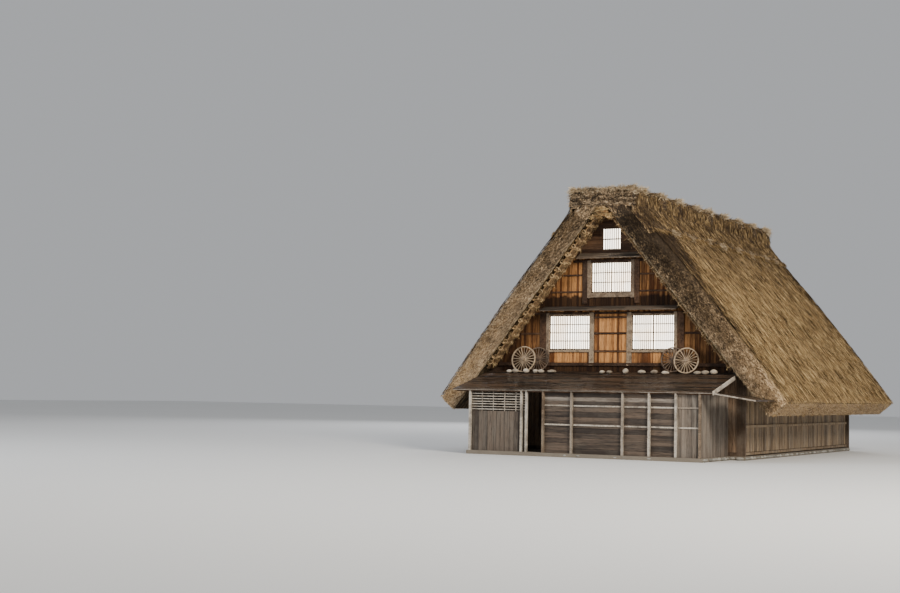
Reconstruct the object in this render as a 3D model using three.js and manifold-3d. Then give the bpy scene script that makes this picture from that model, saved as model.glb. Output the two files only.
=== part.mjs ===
import * as THREE from 'three';
import { mergeVertices } from 'three/addons/utils/BufferGeometryUtils.js';
import Module from 'manifold-3d';

const wasm = await Module();
wasm.setup();

// Steep thatched farmhouse, millimetres, +Z up, gable front facing -Y.
const GAP = 0.3;

// Thatched roof: outer face from the eave tip to the foot of the ridge cap.
const EAVE_X = 7545;
const EAVE_Z = 2300;
const CAP_X = 1364;
const CAP_FOOT_Z = 9960;
const RIDGE_Z = 10805;
const THATCH_RUN = 1188;
const PITCH = (CAP_FOOT_Z - EAVE_Z) / (EAVE_X - CAP_X);
const FALL = Math.hypot(1, PITCH);

// Verges at the eaves, and how far both lean out on the way to the ridge.
const VERGE_FRONT = -7332;
const VERGE_BACK = 9502;
const VERGE_LEAN = 308;

// Ridge cap: shoulders, and the skirt that laps over both slopes.
const CAP_TOP_X = 1340;
const CAP_SHOULDER_Z = 10640;
const CAP_SIDE_X = 1435;
const SKIRT_DROP = 1060;
const SKIRT_THICK = 80;

// Walls and floors.
const WALL_FRONT = -6560;
const WALL_BACK = 8730;
const WALL_THICK = 120;
const SIDE_X = 5450;
const SIDE_THICK = 150;
const BASE_X = 5640;
const BASE_Z = 150;
const FLOOR_THICK = 120;
const FLOOR_1 = 3200;
const FLOOR_2 = 5860;
const FLOOR_3 = 7980;
const HATCH_X0 = -1200;
const HATCH_X1 = -300;
const HATCH_Y0 = 6600;
const HATCH_Y1 = 7800;

// Windows: half spans in X, sill and head in Z.
const LOWER_IN = 926;
const LOWER_OUT = 2726;
const LOWER_SILL = 4244;
const LOWER_HEAD = 5655;
const MIDDLE_HALF = 866;
const MIDDLE_SILL = 6564;
const MIDDLE_HEAD = 7809;
const TOP_HALF = 399;
const TOP_SILL = 8297;
const TOP_HEAD = 9190;
const SASH_BORDER = 42;
const SASH_DEPTH = 46;
const SASH_INSET = 20;
const PAPER_THICK = 8;

// Timber frame on the gable wall: rails from bottom to top, posts from inner to outer edge.
const FRAME_DEPTH = 90;
const FRAME_LAP = 10;
const RAIL_CLEAR = 165;
const LOWER_FOOT_RAIL = [3592, 3724];
const LOWER_SILL_RAIL = [4150, LOWER_SILL];
const LOWER_HEAD_RAIL = [LOWER_HEAD, 5784];
const LOWER_CENTRE_RAILS = [[4152, 4236], [4876, 4958], [5529, 5600]];
const LOWER_SIDE_RAIL = [4876, 4958];
const INNER_POST = [720, 925];
const OUTER_POST = [2722, 3150];
const MIDDLE_FOOT = 6130;
const MIDDLE_SILL_RAIL = [6375, MIDDLE_SILL];
const MIDDLE_HEAD_RAIL = [MIDDLE_HEAD, 7915];
const MIDDLE_SIDE_RAILS = [[6579, 6650], [7262, 7333]];
const MIDDLE_POST = [MIDDLE_HALF, 1250];

// Pent ledges: half length, top of the front edge, rise to the wall, reach from the wall.
const LEDGE_THICK = 45;
const LOWER_LEDGE = { half: 2970, low: 5870, rise: 160, reach: 520 };
const UPPER_LEDGE = { half: 1405, low: 7990, rise: 220, reach: 380 };

// Poles under the overhang: purlin ends, and rake poles at shares of the overhang.
const POLE_RADIUS = 42;
const POLE_SPACING = 600;
const POLE_SHORT = 150;
const POLE_HIGH = 9550;
const FRONT_POLE_LOW = 3650;
const BACK_POLE_LOW = 2750;
const RAKE_RADIUS = 45;
const RAKE_NOTCH = 12;
const RAKE_BEYOND = 120;
const RAKE_SHARES = [0.18, 0.335, 0.49, 0.645, 0.8];

// Lean-to across the front.
const LEAN_FRONT = -9810;
const LEAN_FRONT_Z = 2599;
const LEAN_BACK = WALL_FRONT - FRAME_DEPTH - GAP;
const LEAN_RISE = 0.2494;
const LEAN_HALF = 5465;
const LEAN_THICK = 62;
const RAKE_BOARD_THICK = 40;
const RAKE_BOARD_ABOVE = 25;
const RAKE_BOARD_BELOW = 130;
const RAKE_BOARD_BACK = VERGE_FRONT - 48;
const WING_END = 7100;
const WING_DROP = 30;
const WING_FALL = 235;
const WING_THICK = 60;
const WING_SET = 20;
const WING_BACK = VERGE_FRONT - 20;

// Porch under the lean-to.
const PORCH_FRONT = -9740;
const PORCH_DEPTH = 120;
const PORCH_LEFT = -4770;
const PORCH_RIGHT = 4990;
const PORCH_TOP = 2560;
const PORCH_FOOT = 60;
const BEAM_HIGH = 70;
const BEAM_CLEAR = 4;
const BEAM_LEFT = -5315;
const BEAM_RIGHT = 5405;
const POST_HALF = 42;
const POSTS_X = [-4705, -2411, -2195, -1468, -255, 1865, 2942, 4003, 4942];
const PANEL_THICK = 40;
const DOOR_LEFT = -2153;
const DOOR_RIGHT = -1510;
const HOUSE_DOOR_RIGHT = -1273;
const DOOR_HEAD = 2200;
const LATTICE_BOARD_TOP = 1735;
const LATTICE_ROWS = 8;
const LATTICE_UPRIGHTS = 6;
const LATTICE_DEPTH = 50;
const SLAT_HALF = 18;

// Cart wheels that lean on the gable.
const WHEEL_SPOKES = 21;
const WHEEL_SEGMENTS = 42;
const RIM_WIDTH = 52;
const RIM_DEPTH = 60;
const HUB_RADIUS = 75;
const HUB_LENGTH = 150;
const SPOKE_WIDTH = 32;
const SPOKE_DEPTH = 30;
const WHEEL_APART = 160;

function solidOf(geometry) {
  const bare = geometry.index ? geometry.toNonIndexed() : geometry.clone();
  bare.deleteAttribute('normal');
  bare.deleteAttribute('uv');
  const merged = mergeVertices(bare, 0.001);
  return new wasm.Manifold(new wasm.Mesh({
    numProp: 3,
    vertProperties: new Float32Array(merged.attributes.position.array),
    triVerts: new Uint32Array(merged.index.array),
  }));
}

function geometryOf(solid) {
  const mesh = solid.getMesh();
  const geometry = new THREE.BufferGeometry();
  const count = mesh.vertProperties.length / mesh.numProp;
  const points = new Float32Array(count * 3);
  for (let i = 0; i < count; i += 1) {
    for (let k = 0; k < 3; k += 1) {
      points[i * 3 + k] = mesh.vertProperties[i * mesh.numProp + k];
    }
  }
  geometry.setAttribute('position', new THREE.BufferAttribute(points, 3));
  geometry.setIndex(new THREE.BufferAttribute(new Uint32Array(mesh.triVerts), 1));
  return geometry;
}

function join(geometries) {
  let total = solidOf(geometries[0]);
  for (const geometry of geometries.slice(1)) {
    total = total.add(solidOf(geometry));
  }
  return geometryOf(total);
}

function cut(geometry, tools) {
  let total = solidOf(geometry);
  for (const tool of tools) {
    total = total.subtract(solidOf(tool));
  }
  return geometryOf(total);
}

function box(x0, x1, y0, y1, z0, z1) {
  const geometry = new THREE.BoxGeometry(x1 - x0, y1 - y0, z1 - z0);
  geometry.translate((x0 + x1) / 2, (y0 + y1) / 2, (z0 + z1) / 2);
  return geometry;
}

// Outline in X and Z, drawn through from y0 to y1.
function alongY(outline, y0, y1) {
  const shape = new THREE.Shape(outline.map(([x, z]) => new THREE.Vector2(x, z)));
  const geometry = new THREE.ExtrudeGeometry(shape, { depth: y1 - y0, bevelEnabled: false });
  geometry.rotateX(Math.PI / 2);
  geometry.translate(0, y1, 0);
  return geometry;
}

// Outline in Y and Z, drawn through from x0 to x1.
function alongX(outline, x0, x1) {
  const shape = new THREE.Shape(outline.map(([y, z]) => new THREE.Vector2(y, z)));
  const geometry = new THREE.ExtrudeGeometry(shape, { depth: x1 - x0, bevelEnabled: false });
  const turn = new THREE.Matrix4().makeBasis(
    new THREE.Vector3(0, 1, 0),
    new THREE.Vector3(0, 0, 1),
    new THREE.Vector3(1, 0, 0),
  );
  geometry.applyMatrix4(turn);
  geometry.translate(x0, 0, 0);
  return geometry;
}

function pole(from, to, radius) {
  const a = new THREE.Vector3(...from);
  const b = new THREE.Vector3(...to);
  const geometry = new THREE.CylinderGeometry(radius, radius, a.distanceTo(b), 6);
  const turn = new THREE.Quaternion().setFromUnitVectors(
    new THREE.Vector3(0, 1, 0),
    b.clone().sub(a).normalize(),
  );
  geometry.applyQuaternion(turn);
  const middle = a.add(b).multiplyScalar(0.5);
  geometry.translate(middle.x, middle.y, middle.z);
  return geometry;
}

// Half width inside the thatch at a height.
function innerHalf(z) {
  return EAVE_X - THATCH_RUN - (z - EAVE_Z) / PITCH;
}

// Verge at a height, for the front (out = -1) or the back (out = 1).
function vergeY(out, z) {
  const rise = Math.min(Math.max(z, EAVE_Z), CAP_FOOT_Z) - EAVE_Z;
  const lean = VERGE_LEAN * rise / (CAP_FOOT_Z - EAVE_Z);
  return (out < 0 ? VERGE_FRONT : VERGE_BACK) + out * lean;
}

// Everything past one of the leaning verges.
function vergeWaste(out) {
  const beyond = vergeY(out, RIDGE_Z) + out * 1000;
  const low = EAVE_Z - 1000;
  const high = RIDGE_Z + 1000;
  const outline = [
    [vergeY(out, low), low],
    [beyond, low],
    [beyond, high],
    [vergeY(out, high), high],
    [vergeY(out, CAP_FOOT_Z), CAP_FOOT_Z],
    [vergeY(out, EAVE_Z), EAVE_Z],
  ];
  return alongX(outline, -EAVE_X - 1000, EAVE_X + 1000);
}

function betweenVerges(outline) {
  const whole = alongY(outline, vergeY(-1, RIDGE_Z) - 1, vergeY(1, RIDGE_Z) + 1);
  return cut(whole, [vergeWaste(-1), vergeWaste(1)]);
}

function thatchSlope(side) {
  const footDrop = THATCH_RUN * PITCH / (FALL * FALL);
  const outline = [
    [EAVE_X, EAVE_Z],
    [CAP_X, CAP_FOOT_Z],
    [innerHalf(CAP_FOOT_Z), CAP_FOOT_Z],
    [EAVE_X - footDrop * PITCH, EAVE_Z - footDrop],
  ];
  return betweenVerges(outline.map(([x, z]) => [side * x, z]));
}

function ridgeCap() {
  const foot = CAP_FOOT_Z + GAP;
  const tailZ = CAP_FOOT_Z - SKIRT_DROP;
  const tailX = CAP_X + SKIRT_DROP / PITCH;
  const lift = 2 * GAP;
  const right = [
    [CAP_TOP_X, RIDGE_Z],
    [CAP_SIDE_X, CAP_SHOULDER_Z],
    [CAP_SIDE_X + SKIRT_THICK / 2, foot + SKIRT_THICK / 2],
    [tailX + SKIRT_THICK, tailZ],
    [tailX + lift, tailZ],
    [CAP_X + lift, foot],
  ];
  const left = right.map(([x, z]) => [-x, z]).reverse();
  return betweenVerges([...right, ...left]);
}

// Poles under the overhanging thatch: purlin ends crossed by long rake poles.
function vergePoles(side, wallY, out, low) {
  const inward = new THREE.Vector2(-PITCH, -1).normalize();
  const under = (z, y, depth) => [
    side * (innerHalf(z) + inward.x * depth),
    y,
    z + inward.y * depth,
  ];
  const steps = Math.round((POLE_HIGH - low) / POLE_SPACING);
  const parts = [];
  for (let i = 0; i <= steps; i += 1) {
    const z = low + (POLE_HIGH - low) * i / steps;
    const depth = POLE_RADIUS + GAP;
    const end = vergeY(out, z) - out * POLE_SHORT;
    parts.push(pole(under(z, wallY + out * GAP, depth), under(z, end, depth), POLE_RADIUS));
  }
  const foot = low - RAKE_BEYOND;
  const head = POLE_HIGH + RAKE_BEYOND;
  const depth = POLE_RADIUS * 2 + RAKE_RADIUS - RAKE_NOTCH;
  for (const share of RAKE_SHARES) {
    const y0 = wallY + (vergeY(out, foot) - wallY) * share;
    const y1 = wallY + (vergeY(out, head) - wallY) * share;
    parts.push(pole(under(foot, y0, depth), under(head, y1, depth), RAKE_RADIUS));
  }
  return join(parts);
}

// Storey of a gable wall between two floors, its edges cut to the thatch.
function gableStorey(y0, z0, z1, holes) {
  const low = innerHalf(z0) - GAP * 2;
  const high = innerHalf(z1) - GAP * 2;
  const outline = [[-low, z0], [low, z0], [high, z1], [-high, z1]];
  const through = ([x0, x1, sill, head]) => box(x0, x1, y0 - 10, y0 + WALL_THICK + 10, sill, head);
  return cut(alongY(outline, y0, y0 + WALL_THICK), holes.map(through));
}

const LOWER_HOLES = [
  [-LOWER_OUT, -LOWER_IN, LOWER_SILL, LOWER_HEAD],
  [LOWER_IN, LOWER_OUT, LOWER_SILL, LOWER_HEAD],
];
const MIDDLE_HOLE = [-MIDDLE_HALF, MIDDLE_HALF, MIDDLE_SILL, MIDDLE_HEAD];
const TOP_HOLE = [-TOP_HALF, TOP_HALF, TOP_SILL, TOP_HEAD];

function paperWindow([x0, x1, sill, head], outerFace, into) {
  const near = outerFace + into * SASH_INSET;
  const far = near + into * SASH_DEPTH;
  const y0 = Math.min(near, far);
  const y1 = Math.max(near, far);
  const border = SASH_BORDER;
  const frame = cut(
    box(x0 + GAP, x1 - GAP, y0, y1, sill + GAP, head - GAP),
    [box(x0 + border, x1 - border, y0 - 5, y1 + 5, sill + border, head - border)],
  );
  const middle = (y0 + y1) / 2;
  const half = PAPER_THICK / 2;
  const lap = border - 10;
  const paper = box(x0 + lap, x1 - lap, middle - half, middle + half, sill + lap, head - lap);
  return join([frame, paper]);
}

// Attic floor that carries the next storey's walls, trimmed to the slopes,
// with the hatch that the storey is reached by.
function atticFloor(z) {
  const low = innerHalf(z) - GAP * 2;
  const high = innerHalf(z + FLOOR_THICK) - GAP * 2;
  const base = z + GAP;
  const top = z + FLOOR_THICK - GAP;
  const outline = [[-low, base], [low, base], [high, top], [-high, top]];
  const hatch = box(HATCH_X0, HATCH_X1, HATCH_Y0, HATCH_Y1, z - 10, z + FLOOR_THICK + 10);
  return cut(alongY(outline, WALL_FRONT, WALL_BACK), [hatch]);
}

// Footing and floor of the house, with a narrower part under the porch.
function groundFloor() {
  const top = BASE_Z - GAP;
  return join([
    box(-BASE_X, BASE_X, WALL_FRONT - 20, WALL_BACK + 20, 0, top),
    box(PORCH_LEFT - PORCH_FOOT, PORCH_RIGHT + PORCH_FOOT, LEAN_FRONT + PORCH_FOOT, WALL_FRONT, 0, top),
  ]);
}

function endGroundWall(y0, doors) {
  const half = innerHalf(FLOOR_1) - GAP * 2;
  const wall = box(-half, half, y0, y0 + WALL_THICK, BASE_Z, FLOOR_1);
  const through = ([x0, x1, head]) => box(x0, x1, y0 - 10, y0 + WALL_THICK + 10, BASE_Z - 10, head);
  return cut(wall, doors.map(through));
}

function sideWall(side) {
  const y0 = WALL_FRONT + WALL_THICK + GAP;
  const y1 = WALL_BACK - WALL_THICK - GAP;
  const outer = side * SIDE_X;
  const inner = side * (SIDE_X - SIDE_THICK);
  return box(Math.min(outer, inner), Math.max(outer, inner), y0, y1, BASE_Z, FLOOR_1);
}

// Bars on the face of a gable wall, one across the middle or one on each side.
function frameBars(wallFace, out) {
  const near = wallFace + out * GAP;
  const far = wallFace + out * FRAME_DEPTH;
  const y0 = Math.min(near, far);
  const y1 = Math.max(near, far);
  const across = (half, [z0, z1]) => box(-half, half, y0, y1, z0, z1);
  const paired = (inner, outer, [z0, z1]) => [
    box(-outer, -inner, y0, y1, z0, z1),
    box(inner, outer, y0, y1, z0, z1),
  ];
  return { across, paired };
}

// How far a rail may run before it meets the poles under the thatch.
function railReach([, top]) {
  return innerHalf(top) - RAIL_CLEAR;
}

// Posts and rails of the lower gable storey, fused where they cross.
function lowerFrame(wallFace, out) {
  const { across, paired } = frameBars(wallFace, out);
  const postHeights = [LOWER_FOOT_RAIL[0] + 20, LOWER_HEAD_RAIL[1] - 20];
  return join([
    across(railReach(LOWER_FOOT_RAIL), LOWER_FOOT_RAIL),
    across(railReach(LOWER_HEAD_RAIL), LOWER_HEAD_RAIL),
    ...LOWER_CENTRE_RAILS.map((heights) => across(INNER_POST[0] + FRAME_LAP, heights)),
    ...paired(...INNER_POST, postHeights),
    ...paired(...OUTER_POST, postHeights),
    ...paired(INNER_POST[1] - FRAME_LAP, OUTER_POST[0] + FRAME_LAP, LOWER_SILL_RAIL),
    ...paired(OUTER_POST[1] - FRAME_LAP, railReach(LOWER_SIDE_RAIL), LOWER_SIDE_RAIL),
  ]);
}

function middleFrame(wallFace, out) {
  const { across, paired } = frameBars(wallFace, out);
  const postInner = MIDDLE_POST[0];
  const postOuter = MIDDLE_POST[1];
  const sideRail = (heights) => paired(postOuter - FRAME_LAP, railReach(heights), heights);
  return join([
    across(postInner + FRAME_LAP, MIDDLE_SILL_RAIL),
    across(railReach(MIDDLE_HEAD_RAIL), MIDDLE_HEAD_RAIL),
    ...paired(postInner, postOuter, [MIDDLE_FOOT, MIDDLE_HEAD_RAIL[1] - 20]),
    ...MIDDLE_SIDE_RAILS.flatMap(sideRail),
  ]);
}

// Little pent roof over a row of windows.
function pentLedge(wallFace, out, { half, low, rise, reach }) {
  const near = wallFace + out * GAP;
  const far = wallFace + out * reach;
  const outline = [
    [near, low + rise - LEDGE_THICK],
    [far, low - LEDGE_THICK],
    [far, low],
    [near, low + rise],
  ];
  return alongX(outline, -half, half);
}

function leanZ(y) {
  return LEAN_FRONT_Z + (y - LEAN_FRONT) * LEAN_RISE;
}

function leanRoof() {
  const outline = [
    [LEAN_FRONT, LEAN_FRONT_Z],
    [LEAN_FRONT, LEAN_FRONT_Z - LEAN_THICK],
    [LEAN_BACK, leanZ(LEAN_BACK) - LEAN_THICK],
    [LEAN_BACK, leanZ(LEAN_BACK)],
  ];
  return alongX(outline, -LEAN_HALF, LEAN_HALF);
}

function leanRakeBoard() {
  const x0 = LEAN_HALF + GAP;
  const backZ = leanZ(RAKE_BOARD_BACK);
  const outline = [
    [LEAN_FRONT, LEAN_FRONT_Z + RAKE_BOARD_ABOVE],
    [LEAN_FRONT, LEAN_FRONT_Z - RAKE_BOARD_BELOW],
    [RAKE_BOARD_BACK, backZ - RAKE_BOARD_BELOW],
    [RAKE_BOARD_BACK, backZ + RAKE_BOARD_ABOVE],
  ];
  return alongX(outline, x0, x0 + RAKE_BOARD_THICK);
}

// Lower wing that falls away to the right of the lean-to.
function leanWing() {
  const x0 = LEAN_HALF + RAKE_BOARD_THICK + 2 * GAP;
  const high = LEAN_FRONT_Z - WING_DROP;
  const low = high - WING_FALL;
  const outline = [[x0, high - WING_THICK], [WING_END, low - WING_THICK], [WING_END, low], [x0, high]];
  return alongY(outline, LEAN_FRONT + WING_SET, WING_BACK);
}

// Beam and posts that carry the lean-to.
function leanFrame() {
  const y1 = PORCH_FRONT + PORCH_DEPTH;
  const beamLow = PORCH_TOP - BEAM_HIGH;
  const beamTop = leanZ(PORCH_FRONT) - LEAN_THICK - BEAM_CLEAR;
  const post = (x) => box(x - POST_HALF, x + POST_HALF, PORCH_FRONT, y1, BASE_Z, beamLow + 20);
  return join([box(BEAM_LEFT, BEAM_RIGHT, PORCH_FRONT, y1, beamLow, beamTop), ...POSTS_X.map(post)]);
}

function porchPanels() {
  const y0 = PORCH_FRONT + PORCH_DEPTH + GAP;
  return join([
    box(DOOR_RIGHT, PORCH_RIGHT, y0, y0 + PANEL_THICK, BASE_Z, PORCH_TOP),
    box(PORCH_RIGHT - PANEL_THICK, PORCH_RIGHT, y0, LEAN_BACK, BASE_Z, PORCH_TOP),
  ]);
}

function porchLeftEnd() {
  const y0 = PORCH_FRONT + PORCH_DEPTH + LATTICE_DEPTH + 2 * GAP;
  return box(PORCH_LEFT, PORCH_LEFT + PANEL_THICK, y0, LEAN_BACK, BASE_Z, PORCH_TOP);
}

// Boards below, crossed slats above.
function latticeScreen() {
  const y0 = PORCH_FRONT + PORCH_DEPTH + GAP;
  const yMiddle = y0 + LATTICE_DEPTH / 2;
  const y1 = y0 + LATTICE_DEPTH;
  const x0 = PORCH_LEFT + 30;
  const x1 = DOOR_LEFT - 40;
  const clear = PORCH_TOP - LATTICE_BOARD_TOP;
  const parts = [box(x0, x1, y0, y1, BASE_Z, LATTICE_BOARD_TOP)];
  for (let i = 0; i < LATTICE_ROWS; i += 1) {
    const z = LATTICE_BOARD_TOP + clear * (i + 0.5) / LATTICE_ROWS;
    parts.push(box(x0, x1, y0, yMiddle + 3, z - SLAT_HALF, z + SLAT_HALF));
  }
  for (let i = 0; i < LATTICE_UPRIGHTS; i += 1) {
    const x = x0 + SLAT_HALF + (x1 - x0 - 2 * SLAT_HALF) * i / (LATTICE_UPRIGHTS - 1);
    const foot = LATTICE_BOARD_TOP - 20;
    parts.push(box(x - SLAT_HALF, x + SLAT_HALF, yMiddle - 3, y1, foot, PORCH_TOP));
  }
  return join(parts);
}

function cartWheel(radius) {
  const inner = radius - RIM_WIDTH;
  const half = RIM_DEPTH / 2;
  const profile = [[inner, -half], [radius, -half], [radius, half], [inner, half], [inner, -half]];
  const rim = new THREE.LatheGeometry(
    profile.map(([r, y]) => new THREE.Vector2(r, y)),
    WHEEL_SEGMENTS,
  );
  const parts = [rim, new THREE.CylinderGeometry(HUB_RADIUS, HUB_RADIUS, HUB_LENGTH, 16)];
  const start = HUB_RADIUS / 2;
  const reach = radius - RIM_WIDTH / 2;
  for (let i = 0; i < WHEEL_SPOKES; i += 1) {
    const spoke = new THREE.BoxGeometry(reach - start, SPOKE_DEPTH, SPOKE_WIDTH);
    spoke.translate((reach + start) / 2, 0, 0);
    spoke.rotateY((i + 0.25) * Math.PI * 2 / WHEEL_SPOKES);
    parts.push(spoke);
  }
  return join(parts);
}

// Stands a wheel on the lean-to and lets it lean on the gable frame.
function leaningWheel(x, radius, lean, face) {
  const geometry = cartWheel(radius);
  geometry.rotateX(-lean);
  const place = geometry.attributes.position;
  let back = -Infinity;
  for (let i = 0; i < place.count; i += 1) {
    back = Math.max(back, place.getY(i));
  }
  geometry.translate(x, face - GAP - back, 0);
  let rest = Infinity;
  for (let i = 0; i < place.count; i += 1) {
    rest = Math.min(rest, place.getZ(i) - leanZ(place.getY(i)));
  }
  geometry.translate(0, 0, GAP - rest);
  return geometry;
}

const LOOKS = {
  thatch: [0x9a7a48, 0.95],
  ridge: [0x8a7350, 0.95],
  boards: [0x8f5427, 0.75],
  post: [0x6b5a48, 0.8],
  dark: [0x3a2c22, 0.8],
  paper: [0xf5efe0, 0.6],
  wet: [0x2e2620, 0.4],
  pale: [0xa9a294, 0.8],
  floor: [0x6f5a44, 0.85],
  stone: [0x77736c, 0.9],
};

const house = new THREE.Group();
house.name = 'minka_farmhouse';

function add(name, geometry, look) {
  const [colour, roughness] = LOOKS[look];
  const material = new THREE.MeshStandardMaterial({ color: colour, roughness, metalness: 0 });
  const mesh = new THREE.Mesh(geometryOf(solidOf(geometry)), material);
  mesh.name = name;
  house.add(mesh);
}

function addGable(end) {
  const front = end === 'front';
  const out = front ? -1 : 1;
  const face = front ? WALL_FRONT : WALL_BACK;
  const y0 = front ? WALL_FRONT : WALL_BACK - WALL_THICK;
  const level1 = FLOOR_1 + FLOOR_THICK;
  const level2 = FLOOR_2 + FLOOR_THICK;
  const level3 = FLOOR_3 + FLOOR_THICK;
  add(`${end}_lower_gable_wall`, gableStorey(y0, level1, FLOOR_2, LOWER_HOLES), 'boards');
  add(`${end}_middle_gable_wall`, gableStorey(y0, level2, FLOOR_3, [MIDDLE_HOLE]), 'boards');
  add(`${end}_top_gable_wall`, gableStorey(y0, level3, CAP_FOOT_Z, [TOP_HOLE]), 'boards');
  add(`${end}_lower_left_window`, paperWindow(LOWER_HOLES[0], face, -out), 'paper');
  add(`${end}_lower_right_window`, paperWindow(LOWER_HOLES[1], face, -out), 'paper');
  add(`${end}_middle_window`, paperWindow(MIDDLE_HOLE, face, -out), 'paper');
  add(`${end}_top_window`, paperWindow(TOP_HOLE, face, -out), 'paper');
  add(`${end}_lower_frame`, lowerFrame(face, out), 'post');
  add(`${end}_middle_frame`, middleFrame(face, out), 'post');
  add(`${end}_lower_ledge`, pentLedge(face, out, LOWER_LEDGE), 'dark');
  add(`${end}_upper_ledge`, pentLedge(face, out, UPPER_LEDGE), 'dark');
  const poleLow = front ? FRONT_POLE_LOW : BACK_POLE_LOW;
  add(`${end}_left_verge_poles`, vergePoles(-1, face, out, poleLow), 'thatch');
  add(`${end}_right_verge_poles`, vergePoles(1, face, out, poleLow), 'thatch');
}

add('ground_floor', groundFloor(), 'stone');
add('front_ground_wall', endGroundWall(WALL_FRONT, [[DOOR_LEFT, HOUSE_DOOR_RIGHT, DOOR_HEAD]]), 'boards');
add('back_ground_wall', endGroundWall(WALL_BACK - WALL_THICK, []), 'boards');
add('left_side_wall', sideWall(-1), 'pale');
add('right_side_wall', sideWall(1), 'pale');
add('first_attic_floor', atticFloor(FLOOR_1), 'floor');
add('second_attic_floor', atticFloor(FLOOR_2), 'floor');
add('third_attic_floor', atticFloor(FLOOR_3), 'floor');
addGable('front');
addGable('back');
add('left_thatch_slope', thatchSlope(-1), 'thatch');
add('right_thatch_slope', thatchSlope(1), 'thatch');
add('ridge_cap', ridgeCap(), 'ridge');
add('lean_to_roof', leanRoof(), 'wet');
add('lean_to_rake_board', leanRakeBoard(), 'pale');
add('lean_to_wing', leanWing(), 'wet');
add('lean_to_frame', leanFrame(), 'pale');
add('porch_panels', porchPanels(), 'floor');
add('porch_left_end', porchLeftEnd(), 'floor');
add('lattice_screen', latticeScreen(), 'pale');

const leanFace = WALL_FRONT - FRAME_DEPTH;
add('left_front_wheel', leaningWheel(-3740, 545, 0.16, leanFace - WHEEL_APART), 'post');
add('left_rear_wheel', leaningWheel(-3160, 500, 0.12, leanFace), 'dark');
add('right_front_wheel', leaningWheel(3360, 515, 0.16, leanFace - WHEEL_APART), 'post');
add('right_rear_wheel', leaningWheel(2740, 500, 0.12, leanFace), 'dark');

export default house;
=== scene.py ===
import math

import bmesh
import bpy
import numpy as np
from mathutils import Matrix, Vector, noise


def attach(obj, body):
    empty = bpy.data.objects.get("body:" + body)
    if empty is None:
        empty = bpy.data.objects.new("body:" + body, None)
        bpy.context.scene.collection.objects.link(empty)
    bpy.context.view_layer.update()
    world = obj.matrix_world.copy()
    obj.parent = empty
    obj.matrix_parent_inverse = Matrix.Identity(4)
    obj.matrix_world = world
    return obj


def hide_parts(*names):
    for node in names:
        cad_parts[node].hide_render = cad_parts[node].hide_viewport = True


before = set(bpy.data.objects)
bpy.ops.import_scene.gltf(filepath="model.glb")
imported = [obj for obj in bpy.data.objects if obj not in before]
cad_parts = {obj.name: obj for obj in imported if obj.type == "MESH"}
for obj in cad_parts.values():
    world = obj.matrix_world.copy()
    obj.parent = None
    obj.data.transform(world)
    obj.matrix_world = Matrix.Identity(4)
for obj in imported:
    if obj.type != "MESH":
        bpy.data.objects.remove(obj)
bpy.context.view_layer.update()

dice = np.random.default_rng(417)
even, bell = dice.uniform, dice.normal      # evenly spread draws, and draws around a middle

# camera at the spot the photograph was taken from
view = {
    "spot": (24.215, -62.468, 2.414),
    "yaw": -0.516,
    "pitch": 0.064,
    "roll": 0.017,
    "focalPixels": 1500.0,
    "framePixels": 900.0,
    "sensor": 36.0,
}


def setCamera():
    yaw, pitch, roll = view["yaw"], view["pitch"], view["roll"]
    right = Vector((math.cos(yaw), -math.sin(yaw), 0.0))
    ahead = Vector((math.sin(yaw) * math.cos(pitch), math.cos(yaw) * math.cos(pitch), math.sin(pitch)))
    above = right.cross(ahead)
    acrossFrame = math.cos(roll) * right + math.sin(roll) * above
    upFrame = -math.sin(roll) * right + math.cos(roll) * above
    data = bpy.data.cameras.new("photoCamera")
    data.sensor_width = view["sensor"]
    data.lens = view["focalPixels"] / view["framePixels"] * view["sensor"]
    data.clip_end = 600.0
    camera = bpy.data.objects.new("photoCamera", data)
    turn = Matrix((acrossFrame, upFrame, -ahead)).transposed()
    camera.matrix_world = Matrix.Translation(view["spot"]) @ turn.to_4x4()
    bpy.context.scene.collection.objects.link(camera)
    bpy.context.scene.camera = camera


setCamera()

# sizes shared by all pieces, in metres
house = {
    "eaveX": 7.545, "eaveZ": 2.30,
    "capX": 1.364, "capFootZ": 9.96,
    "thatchRun": 1.188,
    "vergeFront": -7.332, "vergeBack": 9.502, "vergeLean": 0.308,
    "wallFront": -6.56, "wallBack": 8.73, "sideX": 5.45,
    "leanFront": -9.81, "leanFrontZ": 2.599, "leanRise": 0.2494, "leanHalf": 5.465,
    "frameDepth": 0.09,
    "darkTop": 1.2,        # how far the strip of painted shade beside the front verge widens towards the ridge
}
house["vergeMiddle"] = (house["vergeFront"] + house["vergeBack"]) / 2
house["vergeHalf"] = (house["vergeBack"] - house["vergeFront"]) / 2
house["vergeOpen"] = house["vergeLean"] / (house["capFootZ"] - house["eaveZ"])
pitch = (house["capFootZ"] - house["eaveZ"]) / (house["eaveX"] - house["capX"])
fall = math.hypot(1.0, pitch)
upSlope = (-1.0 / fall, pitch / fall)      # up the right slope, in X and Z
outSlope = (pitch / fall, 1.0 / fall)      # out of the right slope
thatchDepth = house["thatchRun"] * outSlope[0]
slopeLength = (house["capFootZ"] - house["eaveZ"]) / upSlope[1]
# the way out of each end, and where its wall and the foot of its verge stand
ends = {"front": (-1, house["wallFront"], house["vergeFront"]),
        "back": (1, house["wallBack"], house["vergeBack"])}
sideNames = {-1: "left", 1: "right"}


def innerHalf(z):
    return house["eaveX"] - house["thatchRun"] - (z - house["eaveZ"]) / pitch


def leanZ(y):
    return house["leanFrontZ"] + (y - house["leanFront"]) * house["leanRise"]


def vergeY(end, z):
    # both verges lean out towards the ridge
    out, _, foot = ends[end]
    share = np.clip((z - house["eaveZ"]) / (house["capFootZ"] - house["eaveZ"]), 0.0, 1.0)
    return foot + out * house["vergeLean"] * share


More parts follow.
